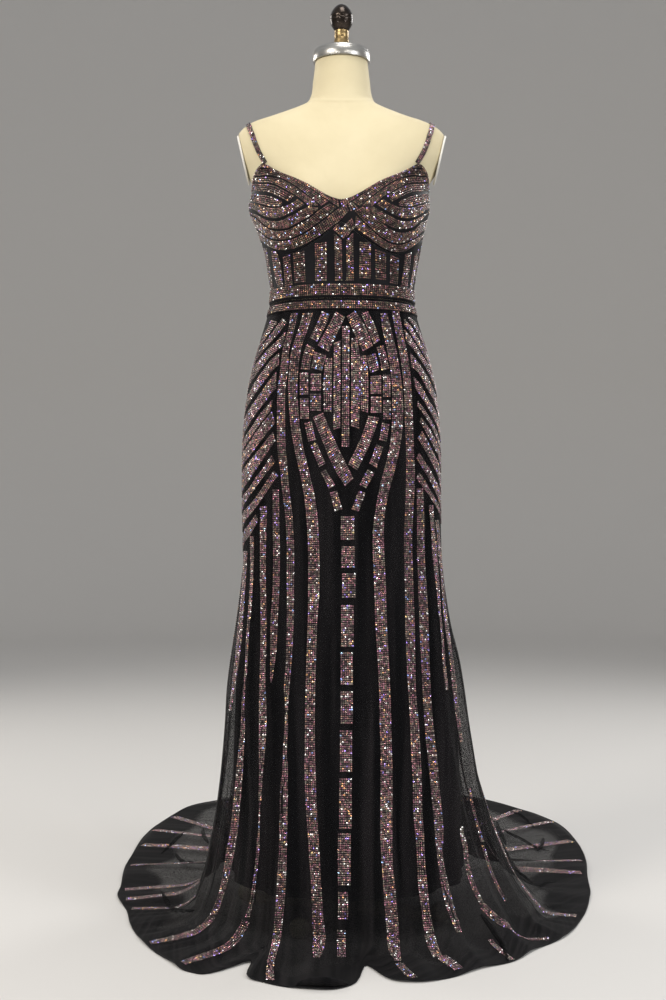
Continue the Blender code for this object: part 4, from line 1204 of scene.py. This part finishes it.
def turned_grid(profile, steps):
    """Rings of points from a profile of radius and height."""
    turn = np.linspace(0, 2 * math.pi, steps, endpoint=False)
    return np.array([[(r * math.cos(a), r * math.sin(a), h) for a in turn] for r, h in profile])


def turned_piece(name, profile, foot, material, slot, node, steps=72):
    """A turned piece from a profile of radius and height above its foot, top to bottom."""
    profile = [(r, foot + h) for r, h in profile]
    grid = turned_grid(profile[1:-1], steps)
    faces = grid_faces(*grid.shape[:2], closed=True)
    points = [*grid.reshape(-1, 3), (0, 0, profile[0][1]), (0, 0, profile[-1][1])]
    top, low = len(points) - 2, len(points) - 1
    last_ring = top - steps
    for c in range(steps):
        after = (c + 1) % steps
        faces.append((top, c, after))
        faces.append((low, last_ring + after, last_ring + c))
    item = new_object(name, points, faces, material)
    item.data.set_sharp_from_angle(angle=math.radians(SHARP_EDGE))
    ready(item, slot, node)


def arc_profile(points):
    """A turned profile rounded along a smooth curve through its points."""
    numbered = [(k, *p) for k, p in enumerate(points)]
    at = np.linspace(0, len(points) - 1, (len(points) - 1) * ARC_STEPS + 1)
    return list(zip(np.maximum(smooth(numbered, 1, at), 0), smooth(numbered, 2, at)))


def build_neck_cap():
    profile = [(0, CAP_HEIGHT), (0.020, 0.0259), (0.040, 0.0257), (0.047, 0.0252), (0.0512, 0.0240),
               (0.0540, 0.0215), (0.0552, 0.0185), (0.0555, 0.0165), (0.0560, 0.0160), (0.0560, 0.0012),
               (0.0555, 0), (0, 0)]
    turned_piece("neck_cap_steel", profile, CAP_FOOT, STEEL, "steel", "form_neck_cap", 96)


def build_collar():
    profile = [(0, COLLAR_HEIGHT), (0.0120, COLLAR_HEIGHT), (0.0135, 0.0362), (0.0138, 0.0345),
               (0.0133, 0.0330), (0.0138, 0.0315), (0.0138, 0.0225), (0.0132, 0.0215), (0.0142, 0.0195),
               (0.0146, 0.0150), (0.0158, 0.0095), (0.0172, 0.0050), (0.0178, 0.0030), (0.0178, 0.0005),
               (0.0172, 0), (0, 0)]
    turned_piece("neck_collar_brass", profile, COLLAR_FOOT, BRASS, "brass", "form_collar")


def build_knob():
    crown = [(0, 0.0515), (0.006, 0.0505), (0.0125, 0.046), (0.0185, 0.038), (0.0220, 0.029)]
    groove = [(0.0226, 0.0235), (0.0221, 0.0228), (0.0221, 0.0220), (0.0227, 0.0213)]
    bowl = [(0.0228, 0.0195), (0.0205, 0.011), (0.0165, 0.004), (0.0138, 0.0)]
    profile = arc_profile(crown) + groove + arc_profile(bowl) + [(0, 0)]
    turned_piece("neck_knob_bronze", profile, KNOB_FOOT, BRONZE, "dark_bronze", "form_knob")


def finish_cad_nodes():
    """Gives the plain nodes that stay their own finishes."""
    looks = {
        "form_arm_plate": PLATE,
        "stand_leg": CREAM,
        "stand_foot": CREAM,
        "stand_hub": CREAM,
        "stand_pole": STEEL,
    }
    for name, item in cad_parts.items():
        for start, material in looks.items():
            if name.startswith(start):
                item.data.materials.clear()
                item.data.materials.append(material)


# Cloth


def part_of(angles, start, end):
    """The columns of a grid between two angles."""
    return np.flatnonzero((angles >= start - 0.01) & (angles <= end + 0.01))


def pinch_grid(cloth, pixels):
    """A small upright fold of net along a line on the floor: across it, foot, crest and foot."""
    line = eased(cloth.seen(resample(pixels, 8 * len(pixels))))
    down = lengths(line)
    line = line[np.abs(down - down[-1] / 2) < PINCH_LONGEST / 2]
    line, out = cloth.nearest(line)
    along = unit(np.gradient(line, axis=0))
    swell = np.sqrt(np.sin(np.linspace(0, math.pi, len(line))).clip(0.02))[:, None]
    across = unit(np.cross(along, out)) * PINCH_WIDTH / 2 * swell
    top, shoulder = line + out * PINCH_HEIGHT * swell, across * 0.3
    return np.stack([line - across, top - shoulder, top + shoulder, line + across], axis=1)


def roll_grid(angles, grid):
    """The front edge of the hem, curled up and over on itself."""
    turn = np.arange(*ROLL_ANGLES, ROLL_COLUMN)
    edge = read_line(turn, angles, grid[-1])
    inner = unit(-edge * (1, 1, 0))
    share = np.linspace(0, math.pi, len(turn))[:, None]
    radius = ROLL_RADIUS * np.sqrt(np.sin(share).clip(0.01))
    rows = []
    for curl in np.linspace(0, math.radians(ROLL_CURL), ROLL_ROWS):
        rise = np.array([0, 0, 1 - math.cos(curl)])
        rows.append(edge + radius * (inner * (1 + math.sin(curl - math.pi)) + rise))
    return np.array(rows)


def net_scrap(name, grid, double):
    """A small piece of the net that lies double by one share all over."""
    item = sheet_piece(name, grid, TULLE)
    mark_double(item, double)
    return item


def join(item, others):
    """Makes other pieces part of the first one."""
    with bpy.context.temp_override(active_object=item, selected_editable_objects=[item, *others]):
        bpy.ops.object.join()


def build_skirt():
    """The sheer mesh of the skirt: a front and two backs. Gives back the grid of all three."""
    angles, grid = skirt_grid()
    cloth = Cloth([grid])
    pinches = [pinch_grid(cloth, pixels) for pixels in PINCHES]
    for name, node, start, end in (
        ("skirt_mesh_front", "skirt_front", -90, 90),
        ("skirt_mesh_back_right", "skirt_back_right", 90, 180),
        ("skirt_mesh_back_left", "skirt_back_left", -180, -90),
    ):
        columns = part_of(angles, start, end)
        part = grid[:, columns]
        item = sheet_piece(name, part, TULLE)
        border_layer(item, part, angles[columns])
        scraps = []
        for number, fold in enumerate(pinches):
            place = fold[len(fold) // 2, 1]
            if start <= math.degrees(math.atan2(place[0], -place[1])) < end:
                scraps.append(net_scrap(f"{name}_pinch_{number}", fold, PINCH_DOUBLE))
        if start < 0 < end:
            scraps.append(net_scrap(f"{name}_roll", roll_grid(angles, grid), 1.0))
        if scraps:
            join(item, scraps)
        ready(item, "black_tulle", node)
    return grid


def lining_point(angle, height):
    """The lining lies just inside the mesh to the knee and hangs straighter below it."""
    tight = body_point(angle, height, LINING_INSET)
    if height >= LINING_BLEND:
        return tight
    level = min(height, LINING_KNEE)
    left, right, front, back = (smooth(LINING_SECTIONS, k, level) for k in (1, 2, 3, 4))
    x, y = oval(angle, left, right, front, back, LINING_ROUNDNESS)
    loose = np.stack([x, y, np.full_like(x, height)], axis=-1)
    share = ease(np.clip((LINING_BLEND - height) / (LINING_BLEND - LINING_KNEE), 0, 1))
    mixed = tight * (1 - share) + loose * share
    room = np.linalg.norm(tight[..., :2], axis=-1) / np.linalg.norm(mixed[..., :2], axis=-1)
    mixed[..., :2] *= np.minimum(room, 1)[..., None]
    return mixed


def build_lining():
    """The opaque satin under the mesh, from the waist to above the floor."""
    angles = all_round(LINING_COLUMN)
    ripple = waves(LINING_RIPPLES, np.radians(angles))
    rows = []
    for height in np.linspace(WAIST_SEAM - 0.001, LINING_FOOT, LINING_ROWS):
        point = lining_point(angles, height)
        sway = np.clip((SWAY_TOP - height) / SWAY_SPAN, 0, 1) ** 1.4
        flat = unit(point * (1, 1, 0))
        rows.append(point + flat * (sway * ripple - SWAY_IN * sway)[:, None])
    grid = np.array(rows)
    front = grid[:, part_of(angles, -90, 90)]
    back_right, back_left = grid[:, part_of(angles, 90, 180)], grid[:, part_of(angles, -180, -90)]
    back = np.concatenate([back_right, back_left[:, 1:]], axis=1)
    for side, part in (("front", front), ("back", back)):
        item = sheet_piece(f"lining_satin_{side}", part, LINING, LINING_THICKNESS)
        ready(item, "black_lining", f"lining_{side}")


def neckline(angles):
    """Heights of the bodice's top edge."""
    return straight(NECKLINE, 1, np.abs(angles))


def underbust(angles):
    """Heights of the cups' lower edge."""
    return smooth(UNDERBUST, 1, np.abs(angles))


def waist(angles):
    """Heights of the waist seam."""
    return np.full(len(angles), WAIST_SEAM)


def panel_grid(angles, top, bottom, rows):
    """Points of a bodice panel between two edges, given as heights for the angles."""
    share = np.linspace(0, 1, rows)[:, None]
    heights = top[None] + (bottom - top)[None] * share
    return body_point(np.broadcast_to(angles, heights.shape), heights)


def build_bodice():
    """Cups, midriff and backs, each with a real thickness. Gives back their grids."""
    grids = []
    for name, node, start, end, top, bottom, gap, rows in (
        ("cup_cloth_left", "cup_left", -90, 0, neckline, underbust, 0, 34),
        ("cup_cloth_right", "cup_right", 0, 90, neckline, underbust, 0, 34),
        ("midriff_cloth", "midriff_front", -90, 90, underbust, waist, SEAM_GAP, 30),
        ("bodice_cloth_back_right", "bodice_back_right", 90, 180, neckline, waist, 0, 44),
        ("bodice_cloth_back_left", "bodice_back_left", -180, -90, neckline, waist, 0, 44),
    ):
        angles = np.arange(start, end + 0.01, PANEL_COLUMN)
        grid = panel_grid(angles, top(angles) - gap, bottom(angles), rows)
        item = sheet_piece(name, grid, LINING, BODICE_THICKNESS)
        ready(item, "black_tulle", node)
        grids.append(grid)
    return grids


def build_hem(grid):
    """The rolled edge of the hem: a fine dark cord along the whole edge."""
    line = grid[-1, :-1]
    up = np.array([0, 0, 1.0])
    along = unit(np.roll(line, -1, axis=0) - np.roll(line, 1, axis=0))
    side = unit(np.cross(along, up))
    sides = HEM_CORD_SIDES
    turns = [2 * math.pi * k / sides for k in range(sides)]
    strands = [line + HEM_CORD_RADIUS * (side * math.cos(turn) + up * math.sin(turn)) for turn in turns]
    points = np.stack(strands, axis=1)
    points[..., 2] = np.maximum(points[..., 2], HEM_CORD_LOWEST)
    faces = []
    for c in range(len(line)):
        ring, after = c * sides, (c + 1) % len(line) * sides
        for k in range(sides):
            beside = (k + 1) % sides
            faces.append((ring + k, after + k, after + beside, ring + beside))
    item = new_object("hem_rolled_edge", points.reshape(-1, 3), faces, LINING)
    item.data.uv_layers.new(name="cloth")
    ready(item, "black_tulle")


# Stones


class Cloth:
    """The garment's outer surface, for placing things by rays from the eye or by nearness."""

    def __init__(self, grids):
        points, faces = [], []
        for grid in grids:
            first = len(points)
            points += [tuple(p) for p in grid.reshape(-1, 3)]
            faces += [tuple(first + i for i in face) for face in grid_faces(*grid.shape[:2])]
        self.tree = BVHTree.FromPolygons(points, faces)

    def nearest(self, points):
        """The nearest points of the surface and its outward normals there."""
        places, normals = [], []
        for point in points:
            place, normal, _, _ = self.tree.find_nearest(Vector(point))
            places.append(place)
            normals.append(normal)
        return np.array(places), np.array(normals)

    def seen(self, pixels):
        """Where the rays through pixels of the photograph meet the cloth first."""
        eye = Vector((0, -EYE_DISTANCE, EYE_HEIGHT))
        found = []
        for column, row in pixels:
            way = Vector(((column - AXIS_COLUMN) / FOCAL_PIXELS, 1, (HORIZON_ROW - row) / FOCAL_PIXELS))
            hit = self.tree.ray_cast(eye, way.normalized())[0]
            if hit is None:
                aim = eye + way * EYE_DISTANCE
                if aim.z < LOW_AIM:
                    aim = eye + way * (EYE_HEIGHT / -way.z)
                hit = self.tree.find_nearest(aim)[0]
            found.append(hit)
        return np.array(found)


def resample(points, count):
    """Points spaced evenly along a line through the given ones."""
    points = np.asarray(points, float)
    if len(points) < 3:
        return points[0] + (points[-1] - points[0]) * np.linspace(0, 1, count)[:, None]
    at = lengths(points)
    table = [(a, *p) for a, p in zip(at, points)]
    spots = np.linspace(0, at[-1], count)
    return np.stack([smooth(table, k + 1, spots) for k in range(points.shape[1])], axis=-1)


def spaced(pixels, spacing, least):
    """How many points a line of pixels needs at a spacing, and at least so many."""
    return max(int(lengths(np.asarray(pixels, float))[-1] / spacing), least)


def eased(line):
    """Evens out a line whose points wander in depth, its ends kept."""
    for _ in range(EASING_ROUNDS):
        line[1:-1] = 0.25 * line[:-2] + 0.5 * line[1:-1] + 0.25 * line[2:]
    return line


def narrowed(a, b):
    """Draws in the edge that lies farther round the side where a band comes out too wide."""
    wide = np.linalg.norm(b - a, axis=1)
    share = np.minimum(BAND_WIDEST / np.maximum(wide, 0.001), 1)[:, None]
    a_behind = (a[:, 1] > b[:, 1])[:, None]
    return np.where(a_behind, b + (a - b) * share, a), np.where(a_behind, b, a + (b - a) * share)


def surface_angle(points):
    """The angles, on the body's sections, of points near them."""
    left, right, front, back = (smooth(SECTIONS, k, points[:, 2]) for k in (1, 2, 3, 4))
    power = smooth(SECTIONS, 5, points[:, 2]) / 2
    side = np.where(points[:, 0] < 0, left, right)
    depth = np.where(points[:, 1] < 0, front, back)
    across = np.sign(points[:, 0]) * np.abs(points[:, 0] / side) ** power
    ahead = -np.sign(points[:, 1]) * np.abs(points[:, 1] / depth) ** power
    return np.degrees(np.arctan2(across, ahead))


def carried_round(points, mirrored):
    """Runs a line on from the last angle seen to the side seam, its slope easing off.

    A mirrored line then runs back behind the seam as it does in front of it.
    """
    turn = np.abs(surface_angle(points))
    kept = turn < LAST_SEEN
    side = math.copysign(1, points[-1, 0])
    points, turn = points[kept], turn[kept]
    near = turn > turn[-1] - SLOPE_SPAN
    slope = np.polyfit(turn[near], points[near, 2], 1)[0] if near.sum() > 2 else 0.0
    steps = np.arange(turn[-1] + ROUND_STEP, SIDE_SEAM - 0.5, ROUND_STEP)
    eased_off = 1 - np.exp((turn[-1] - steps) / SLOPE_EASE)
    height = points[-1, 2] + np.clip(slope, *SLOPE_LIMITS) * SLOPE_EASE * eased_off
    if mirrored:
        order = np.argsort(turn)
        front_turn = np.concatenate([turn[order], steps])
        front_height = np.concatenate([points[order, 2], height])
        behind = np.arange(SIDE_SEAM, 180 - front_turn[0] + 0.1, ROUND_STEP)
        height = np.concatenate([height, np.interp(180 - behind, front_turn, front_height)])
        steps = np.concatenate([steps, behind])
    return np.concatenate([points, body_point(side * steps, height)])


class Stones:
    """Collects stones, then makes them joined meshes."""

    def __init__(self, name, cloth=None, shade=SKIRT_SHADE):
        self.name = name
        self.cloth = cloth
        self.shade = shade
        self.places, self.outs, self.alongs = [], [], []

    def add(self, places, outs, alongs):
        """Adds stones by their places, outward directions and directions along the band."""
        self.places.append(places)
        self.outs.append(outs)
        self.alongs.append(alongs)

    def between(self, edge_a, edge_b):
        """Fills the stretch between two edges on the cloth with rows of stones."""
        middle = 0.5 * (edge_a + edge_b)
        at = lengths(middle)
        rows = max(int(round(at[-1] / STONE_ROW)), 1)
        spots = (np.arange(rows) + 0.5) * at[-1] / rows
        a = read_line(spots, at, edge_a)
        b = read_line(spots, at, edge_b)
        wide = np.linalg.norm(b - a, axis=1)
        along = unit(np.gradient(0.5 * (a + b), axis=0)) if rows > 1 else unit(np.diff(middle, axis=0)[:1])
        places, ways = [], []
        for k in range(rows):
            count = int(wide[k] / STONE_STEP + ROUND_UP)
            if count:
                shares = (np.arange(count) + 0.5) / count
                places.append(a[k] + (b[k] - a[k]) * shares[:, None])
                ways.append(np.repeat(along[k][None], count, axis=0))
        if places:
            places, outs = self.cloth.nearest(np.concatenate(places))
            self.add(places + outs * STONE_LIFT, outs, np.concatenate(ways))

    def seen_between(self, edge_a, edge_b, long_band=False):
        """A band placed by the pixels of its two edges."""
        count = spaced(edge_a, 4, 5)
        a, b = (self.cloth.seen(resample(edge, count)) for edge in (edge_a, edge_b))
        self.between(*(narrowed(a, b) if long_band else (a, b)))

    def carried(self, edge_a, edge_b, mirrored):
        """A band placed by the pixels of its two edges, which runs on round the side."""
        lines = []
        for edge in (edge_a, edge_b):
            seen = self.cloth.seen(resample(edge, spaced(edge, 3, 8)))
            lines.append(carried_round(seen, mirrored))
        count = max(len(line) for line in lines)
        self.between(*(resample(line, count) for line in lines))

    def path(self, width, line):
        """A band of a real width along a line of points near the cloth."""
        line, outs = self.cloth.nearest(line)
        along = unit(np.gradient(line, axis=0))
        across = unit(np.cross(along, outs)) * width / 2
        self.between(line + across, line - across)

    def make(self):
        """Joined meshes of low crystals, each with no more stones than one mesh holds."""
        places, outs, alongs = (np.concatenate(x) for x in (self.places, self.outs, self.alongs))
        for number, start in enumerate(range(0, len(places), STONES_IN_MESH)):
            chosen = slice(start, start + STONES_IN_MESH)
            name = self.name if len(places) <= STONES_IN_MESH else f"{self.name}_{number + 1}"
            self.make_mesh(name, places[chosen], outs[chosen], alongs[chosen])

    def make_mesh(self, name, places, outs, alongs):
        """One mesh of crystals, tilted and sized a little unevenly, each in one tint."""
        count = len(places)
        tilted = unit(outs + DICE.normal(0, STONE_TILT, (count, 3)))
        along = unit(alongs - tilted * (alongs * tilted).sum(axis=1, keepdims=True))
        across = np.cross(tilted, along)
        size = STONE_SIZE / 2 * DICE.uniform(*STONE_SIZES, (count, 1))
        raised = places + tilted * size * DICE.uniform(*STONE_HEIGHTS, (count, 1))
        girdle = [places + (along * u + across * v) * size for u, v in GIRDLE_CORNERS]
        table = [raised + (along * u + across * v) * size * STONE_TABLE for u, v in TABLE_CORNERS]
        points = np.stack(girdle + table, axis=1).reshape(-1, 3)
        corners = len(girdle) + len(table)
        facet_corners = np.array([corner for facet in STONE_FACETS for corner in facet])
        facet_starts = np.cumsum([0] + [len(facet) for facet in STONE_FACETS[:-1]])
        numbers = np.arange(count)[:, None]
        vertices = (numbers * corners + facet_corners).astype(np.int32).ravel()
        starts = (numbers * len(facet_corners) + facet_starts).astype(np.int32).ravel()
        tints = np.repeat(stone_tints(count, self.shade), corners, axis=0)
        mesh = bpy.data.meshes.new(name)
        mesh.vertices.add(len(points))
        mesh.vertices.foreach_set("co", points.astype(np.float32).ravel())
        mesh.loops.add(len(vertices))
        mesh.loops.foreach_set("vertex_index", vertices)
        mesh.polygons.add(len(starts))
        mesh.polygons.foreach_set("loop_start", starts)
        mesh.update(calc_edges=True)
        layer = mesh.color_attributes.new("stone", "FLOAT_COLOR", "POINT")
        layer.data.foreach_set("color", tints.astype(np.float32).ravel())
        ready(add_object(name, mesh, STONE), "stone_trim")


def stone_tints(count, shade):
    """A tint for each stone, its kind and its brightness drawn by chance."""
    shares = np.array([share for share, _ in STONE_KINDS])
    colours = np.array([colour for _, colour in STONE_KINDS])
    picks = DICE.choice(len(STONE_KINDS), count, p=shares / shares.sum())
    plain = (picks < PLAIN_KINDS)[:, None]
    brightness = DICE.uniform(*STONE_BRIGHTNESS, (count, 1))
    # Stones of the kinds after the plain ones are painted glints, bright tints that are left as they are.
    tints = colours[picks] * brightness * np.where(plain, shade, 1.0)
    return np.concatenate([np.clip(tints, 0, 1), np.ones((count, 1))], axis=1)


def ring_line(height, inset=0.0):
    """Points round the garment at one height."""
    angles = all_round(BAND_COLUMN)
    return body_point(angles, np.full(len(angles), height), inset)


def upright_line(turn, high):
    """Points down the bodice at one angle, to the foot of its bars."""
    return body_point(np.full(BAR_POINTS, turn), np.linspace(high, BAR_FOOT, BAR_POINTS))


def skirt_line(grid, waist_turn, hem_turn, start):
    """Points down the skirt's grid from a length below the waist to the hem, between two angles."""
    sides = []
    for turn in (waist_turn, hem_turn):
        column = (turn + 180) / SKIRT_COLUMN
        low = int(np.floor(column))
        sides.append(grid[:, low] + (grid[:, low + 1] - grid[:, low]) * (column - low))
    down = lengths(sides[0])
    share = ease(np.clip((down - SPREAD_START) / (down[-1] - SPREAD_START), 0, 1))[:, None]
    line = sides[0] + (sides[1] - sides[0]) * share
    down = lengths(line)
    end = down[-1] - HEM_MARGIN
    return read_line(np.linspace(start, end, int((end - start) / PATH_SPACING)), down, line)


def build_skirt_stones(cloth):
    """The long bands of the front and the broken band down its centre."""
    stones = Stones("stones_skirt_front", cloth)
    for rows in LONG_BANDS:
        edges = [(left, row) for row, left, _ in rows], [(right, row) for row, _, right in rows]
        stones.seen_between(*edges, long_band=True)
    for top, low, left, right in CENTRE_BLOCKS:
        stones.seen_between([(left, top), (left, low)], [(right, top), (right, low)])
    stones.make()


def build_hip_stones(cloth):
    """The hip motif and the slanting bars over the hips, mirrored behind the side seams."""
    stones = Stones("stones_hips", cloth)
    for edge_a, edge_b in HIP_BLOCKS:
        stones.seen_between(edge_a, edge_b)
    for edge_a, edge_b in CHEVRONS:
        upper = [(x, y - CHEVRON_GROWTH) for x, y in edge_a]
        lower = [(x, y + CHEVRON_GROWTH) for x, y in edge_b]
        stones.carried(upper, lower, True)
    stones.make()


def build_bodice_stones(cloth):
    """The bars of the midriff and the bands of the cups, which run on to the side seams."""
    stones = Stones("stones_bodice_front", cloth, BODICE_SHADE)
    for edge_a, edge_b in MIDRIFF_BARS:
        stones.seen_between(edge_a, edge_b, long_band=True)
    stones.path(BAR_WIDTH, upright_line(SIDE_BAR, SIDE_BAR_TOP))
    for edge_a, edge_b in CENTRE_CROSS:
        stones.seen_between(edge_a, edge_b)
    for edges in LOW_CUP_BANDS:
        on_left = edges[0][0][0] < CUP_MIRROR
        stones.carried(*(edge[::-1] if on_left else edge for edge in edges), False)
    for edges in CUP_BANDS:
        outward = [edge[::-1] for edge in edges]
        stones.carried(*outward, False)
        stones.carried(*[[(2 * CUP_MIRROR - x, y) for x, y in edge] for edge in outward], False)
    stones.make()


def build_floor_stones(cloth):
    """The ends of the long bands, which run on over the floor."""
    stones = Stones("stones_hem_front", cloth)
    for width, *points in BAND_TAILS:
        stones.path(width, eased(cloth.seen(resample(points, 5 * len(points)))))
    stones.make()


def build_waist_stones():
    """Two trims round the waist seam, on their strips."""
    for name, (low, high) in (("upper", UPPER_BAND), ("lower", LOWER_BAND)):
        strip = np.array([ring_line(height, -BAND_PROUD) for height in np.linspace(high, low, BAND_ROWS)])
        item = sheet_piece(f"waist_strip_{name}", strip, LINING, STRIP_THICKNESS)
        ready(item, "black_tulle", f"waistband_{name}")
        stones = Stones(f"stones_waist_{name}", Cloth([strip]), BODICE_SHADE)
        stones.between(ring_line(high - BAND_MARGIN), ring_line(low + BAND_MARGIN))
        stones.make()


def strap_surface(turn, level):
    """The form's surface where the straps lie on it."""
    return body_point(turn, level, BODICE_WALL + straight(CLEARANCES, 1, level))


def build_straps():
    """Ribbons over the shoulders, covered with three rows of stones."""
    at = np.linspace(0, len(STRAP_PATH) - 1, STRAP_POINTS)
    numbered = [(k, *row) for k, row in enumerate(STRAP_PATH)]
    for name, side in (("left", -1), ("right", 1)):
        angle = smooth(numbered, 1, at) * side
        height = smooth(numbered, 2, at)
        centre = strap_surface(angle, height)
        out = normal_at(strap_surface, angle, height)
        along = unit(np.gradient(centre, axis=0))
        across = unit(np.cross(along, out)) * STRAP_WIDTH / 2
        top = centre + out * STRAP_PROUD
        ribbon = np.stack([top + across * share for share in RIBBON_SHARES], axis=1)
        item = sheet_piece(f"strap_ribbon_{name}", ribbon, LINING, STRAP_THICKNESS)
        ready(item, "black_tulle", f"strap_{name}")
        stones = Stones(f"stones_strap_{name}")
        steps = lengths(top)
        spots = np.arange(STONE_SIZE / 2, steps[-1], STONE_SIZE + STONE_GAP)
        line, sideways, up, run = (read_line(spots, steps, source) for source in (top, across, out, along))
        for share in STRAP_STONE_ROWS:
            stones.add(line + sideways * share + up * STONE_LIFT, up, run)
        stones.make()


def build_back_stones(cloth, grid):
    """The back's long bands, two bands along its neckline and its upright bars."""
    skirt_stones = Stones("stones_skirt_back", cloth)
    for waist_turn, hem_turn, start, width in BACK_BANDS:
        skirt_stones.path(width, skirt_line(grid, waist_turn, hem_turn, start))
    skirt_stones.make()
    bodice_stones = Stones("stones_bodice_back", cloth, BODICE_SHADE)
    for side in (-1, 1):
        edge = np.linspace(91, 179, 70) * side
        for drop in BACK_EDGE_DROPS:
            height = np.maximum(neckline(edge) - drop, BACK_EDGE_FOOT)
            bodice_stones.path(BAR_WIDTH, body_point(edge, height))
        for turn in BACK_BARS:
            high = float(neckline(turn)) - BACK_BAR_DROP
            if high > BACK_BAR_LEAST:
                bodice_stones.path(BAR_WIDTH, upright_line(side * turn, high))
    bodice_stones.make()


# Studio


def build_floor():
    """A pale floor that curves up, far off and all round."""
    material = new_material("pale_floor", (0.72, 0.70, 0.67), 0.6)[0]
    bend = np.linspace(0, math.pi / 2, 13)
    profile = [(0.001, 0), (3, 0), (6, 0), (7, 0)]
    profile += [(7 + 2 * math.sin(a), 2 - 2 * math.cos(a)) for a in bend[1:]] + [(9, 7)]
    shell = turned_grid(profile, 96)
    faces = grid_faces(*shell.shape[:2], closed=True)
    floor = new_object("studio_floor", shell.reshape(-1, 3), faces, material)


def build_lights():
    """The lights, aimed at the gown, and a soft even surround."""
    for name, place, size, power, colour in LIGHTS:
        data = bpy.data.lights.new(name, "AREA")
        data.size = size
        data.energy = power
        data.color = colour
        light = bpy.data.objects.new(name, data)
        light.location = place
        light.rotation_euler = (Vector(LIGHTS_AIM) - Vector(place)).to_track_quat("-Z", "Y").to_euler()
        bpy.context.scene.collection.objects.link(light)
    world = bpy.data.worlds.new("studio")
    world.use_nodes = True
    background = world.node_tree.nodes["Background"]
    background.inputs["Color"].default_value = (0.80, 0.82, 0.86, 1)
    background.inputs["Strength"].default_value = 0.46
    bpy.context.scene.world = world
    bpy.context.scene.view_settings.view_transform = "Standard"


def build_camera():
    """The photograph's own view."""
    data = bpy.data.cameras.new("photo_view")
    data.sensor_fit = "VERTICAL"
    data.sensor_height = SENSOR
    data.lens = FOCAL_PIXELS / IMAGE_HEIGHT * SENSOR
    data.shift_x = (IMAGE_WIDTH / 2 - AXIS_COLUMN) / IMAGE_HEIGHT
    data.shift_y = (HORIZON_ROW - IMAGE_HEIGHT / 2) / IMAGE_HEIGHT
    camera = bpy.data.objects.new("photo_view", data)
    camera.location = (0, -EYE_DISTANCE, EYE_HEIGHT)
    camera.rotation_euler = (math.radians(90), 0, 0)
    bpy.context.scene.collection.objects.link(camera)
    bpy.context.scene.camera = camera


build_camera()
build_floor()
build_lights()
build_form()
build_neck_cap()
build_collar()
build_knob()
finish_cad_nodes()
build_lining()
skirt = build_skirt()
bodice_grids = build_bodice()
build_hem(skirt)
garment = Cloth([skirt, *bodice_grids])
build_skirt_stones(garment)
build_hip_stones(garment)
build_bodice_stones(garment)
build_floor_stones(garment)
build_waist_stones()
build_straps()
build_back_stones(garment, skirt)
